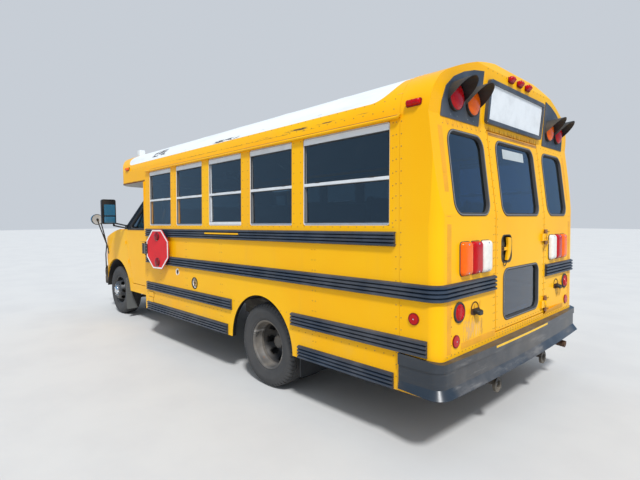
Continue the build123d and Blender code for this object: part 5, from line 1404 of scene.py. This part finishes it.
class Pad:
    """A seat pad: a closed cover blown up by the cloth solver, then seamed and edged with piping."""

    def __init__(self, name, middle, size, lean=0.0):
        self.name = name
        turn = Matrix.Translation(Vector(middle)) @ Matrix.Rotation(math.radians(lean), 4, "Y")
        rings = pad_points(size)
        self.count, self.rows = len(rings[0]), len(rings)
        shape = bmesh.new()
        grid = [[shape.verts.new(turn @ spot) for spot in ring] for ring in rings]
        for near, far in zip(grid, grid[1:]):
            for i in range(self.count):
                j = (i + 1) % self.count
                shape.faces.new((near[i], near[j], far[j], far[i]))
        shape.faces.new(grid[0][::-1])
        shape.faces.new(grid[-1])
        bmesh.ops.recalc_face_normals(shape, faces=shape.faces)
        for vertex in shape.verts:
            vertex.co += vertex.normal * random.uniform(-1.2, 1.2)
        mesh = bpy.data.meshes.new(name)
        shape.to_mesh(mesh)
        shape.free()
        mesh.transform(LEVEL)
        mesh.materials.append(SEAT_VINYL)
        self.piece = bpy.data.objects.new(name, mesh)
        bpy.context.scene.collection.objects.link(self.piece)

    def load(self):
        cloth = self.piece.modifiers.new("cover", "CLOTH")
        for setting, value in CLOTH.items():
            setattr(cloth.settings, setting, value)
        cloth.settings.effector_weights.gravity = 0
        cloth.collision_settings.use_collision = False

    def settle(self):
        """Takes the blown-up shape over, no point further than the cap from where it was."""
        blown = self.piece.evaluated_get(bpy.context.evaluated_depsgraph_get())
        places = [vertex.co.copy() for vertex in blown.to_mesh().vertices]
        blown.to_mesh_clear()
        self.piece.modifiers.clear()
        for vertex, place in zip(self.piece.data.vertices, places):
            move = place - vertex.co
            if move.length > PAD_CAP:
                move *= PAD_CAP / move.length
            vertex.co += move

    def finish(self):
        """Smooths the cover, sews piping round both ends and hands it over as a padded piece."""
        mesh = self.piece.data
        loops = [[UNLEVEL @ mesh.vertices[row * self.count + i].co for i in range(self.count)]
                 for row in (4, self.rows - 5)]
        shape = bmesh.new()
        shape.from_mesh(mesh)
        bmesh.ops.subdivide_edges(shape, edges=shape.edges, cuts=1, use_grid_fill=True, smooth=0.6)
        bmesh.ops.recalc_face_normals(shape, faces=shape.faces)
        for face in shape.faces:
            face.smooth = True
        shape.to_mesh(mesh)
        shape.free()
        with Piece(self.name + "_piping", "bus_body", "seat_vinyl", "seats") as piping:
            for loop in loops:
                middle = sum(loop, Vector()) / len(loop)
                route = [spot + (spot - middle).normalized() * 1.5 for spot in loop]
                rings = []
                for i, spot in enumerate(route):
                    ahead = (route[(i + 1) % self.count] - route[i - 1]).normalized()
                    out = (spot - middle).normalized()
                    side = ahead.cross(out).normalized()
                    rings.append([spot + (out * math.cos(a) + side * math.sin(a)) * 4 for a in circle(6)])
                piping.skin(rings + rings[:1], SEAT_VINYL, caps=False)
        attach(self.piece, "bus_body")
        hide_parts("seats")


pads = []
for side, word in ((1, "left"), (-1, "right")):
    for i, x in enumerate(SEAT_STATIONS):
        pads.append(Pad(f"{word}_bench_{i + 1}_cushion", (x + 22, side * 675, 1192), (330, 940, 74)))
        pads.append(Pad(f"{word}_bench_{i + 1}_back", (x - 222, side * 675, 1450), (58, 940, 380), -8.5))
pads.append(Pad("driver_seat_cushion", (2922, 590, 1030), (330, 430, 76)))
pads.append(Pad("driver_seat_back", (2678, 590, 1288), (58, 430, 380), -8.5))
for pad in pads:
    pad.load()
for number in range(1, CLOTH_FRAMES + 1):
    bpy.context.scene.frame_set(number)
for pad in pads:
    pad.settle()
bpy.context.scene.frame_set(1)
for pad in pads:
    pad.finish()

# Boards, legs and rails that carry the pads, and the driver's seat box
with Piece("seat_frames", "bus_body", "trim_black", "seats") as piece:
    for side in (1, -1):
        for x in SEAT_STATIONS:
            piece.box((x - 200, x + 192), (side * 196, side * 1154), (1132, 1146), TRIM_BLACK, 3)
            for dx in (-150, 150):
                top, foot = Vector((x + dx, side * 240, 1134)), Vector((x + dx * 0.8, side * 240, 806))
                piece.tube((top, top.lerp(foot, 0.5), foot), 14, HOOD_BLACK, 10)
                piece.box((foot.x - 28, foot.x + 28), (foot.y - 28, foot.y + 28), (800.5, 808), HOOD_BLACK)
            rail = [(x - 205, side * 205, 1140), (x - 222, side * 205, 1300), (x - 262, side * 205, 1640)]
            piece.tube(rail, 9, HOOD_BLACK)
    piece.box((2790, 3010), (470, 710), (600.5, 640), HOOD_BLACK, 6)
    piece.box((2810, 2990), (490, 690), (640, 950), TRIM_BLACK, 10)
    piece.box((2750, 3090), (385, 795), (950, 984), HOOD_BLACK, 6)
    piece.box((2655, 2700), (440, 740), (960, 1110), HOOD_BLACK, 8)


# Stage, light and camera

STAGE_HALF = 60.0                        # metres
SUN_FROM = Vector((-0.62, 0.42, 0.95))
SKY_TINT = (0.82, 0.88, 0.96, 1)
MIRRORED_SKY = (0.36, 0.6, 0.92, 1)      # the sky that glossy things show
CAMERA_PLACE = Vector((-3122.2, 3488.5, 1466.9))
CAMERA_ANGLES = (44.013, 2.466, -0.615)  # to the right of straight ahead, down, roll
FOCAL_PIXELS = 439.5                     # in a picture 640 wide


def place(name, data):
    made = bpy.data.objects.new(name, data)
    bpy.context.scene.collection.objects.link(made)
    return made


mesh = bpy.data.meshes.new("floor")
corners = [(x * STAGE_HALF, y * STAGE_HALF, 0) for x, y in ((-1, -1), (1, -1), (1, 1), (-1, 1))]
mesh.from_pydata(corners, [], [(0, 1, 2, 3)])
shade = Shade("floor_grey", (0.62, 0.62, 0.61), 0.85)
shade.cover(shade.patches(1.5, 6, 0.35, 0.7, 0.5), (0.56, 0.56, 0.56))
mesh.materials.append(shade.done())
place("floor", mesh)

sun = bpy.data.lights.new("sun", "SUN")
sun.energy = 2.9
sun.angle = math.radians(8)
place("sun", sun).rotation_euler = SUN_FROM.to_track_quat("Z", "Y").to_euler()
world = bpy.data.worlds.new("sky")
bpy.context.scene.world = world
world.use_nodes = True
tree = world.node_tree
back = tree.nodes["Background"]
back.inputs["Strength"].default_value = 0.7
tint = tree.nodes.new("ShaderNodeMix")
tint.data_type = "RGBA"
tint.inputs["A"].default_value = SKY_TINT
tint.inputs["B"].default_value = MIRRORED_SKY
tree.links.new(tree.nodes.new("ShaderNodeLightPath").outputs["Is Glossy Ray"], tint.inputs["Factor"])
tree.links.new(tint.outputs["Result"], back.inputs["Color"])

yaw, pitch, roll = (math.radians(a) for a in CAMERA_ANGLES)
ahead = Vector((math.cos(yaw), -math.sin(yaw), 0))
right = Vector((-math.sin(yaw), -math.cos(yaw), 0))
look = ahead * math.cos(pitch) - UP * math.sin(pitch)
over = UP * math.cos(pitch) + ahead * math.sin(pitch)
side = right * math.cos(roll) + over * math.sin(roll)
top = over * math.cos(roll) - right * math.sin(roll)
lens_data = bpy.data.cameras.new("camera")
lens_data.sensor_width = 36
lens_data.lens = 36 * FOCAL_PIXELS / 640
camera = place("camera", lens_data)
tilted = Matrix.Rotation(RAKE, 3, "Y") @ Matrix((side, top, -look)).transposed()
camera.matrix_world = Matrix.Translation(LEVEL @ CAMERA_PLACE) @ tilted.to_4x4()
bpy.context.scene.camera = camera
bpy.context.scene.view_settings.view_transform = "Standard"
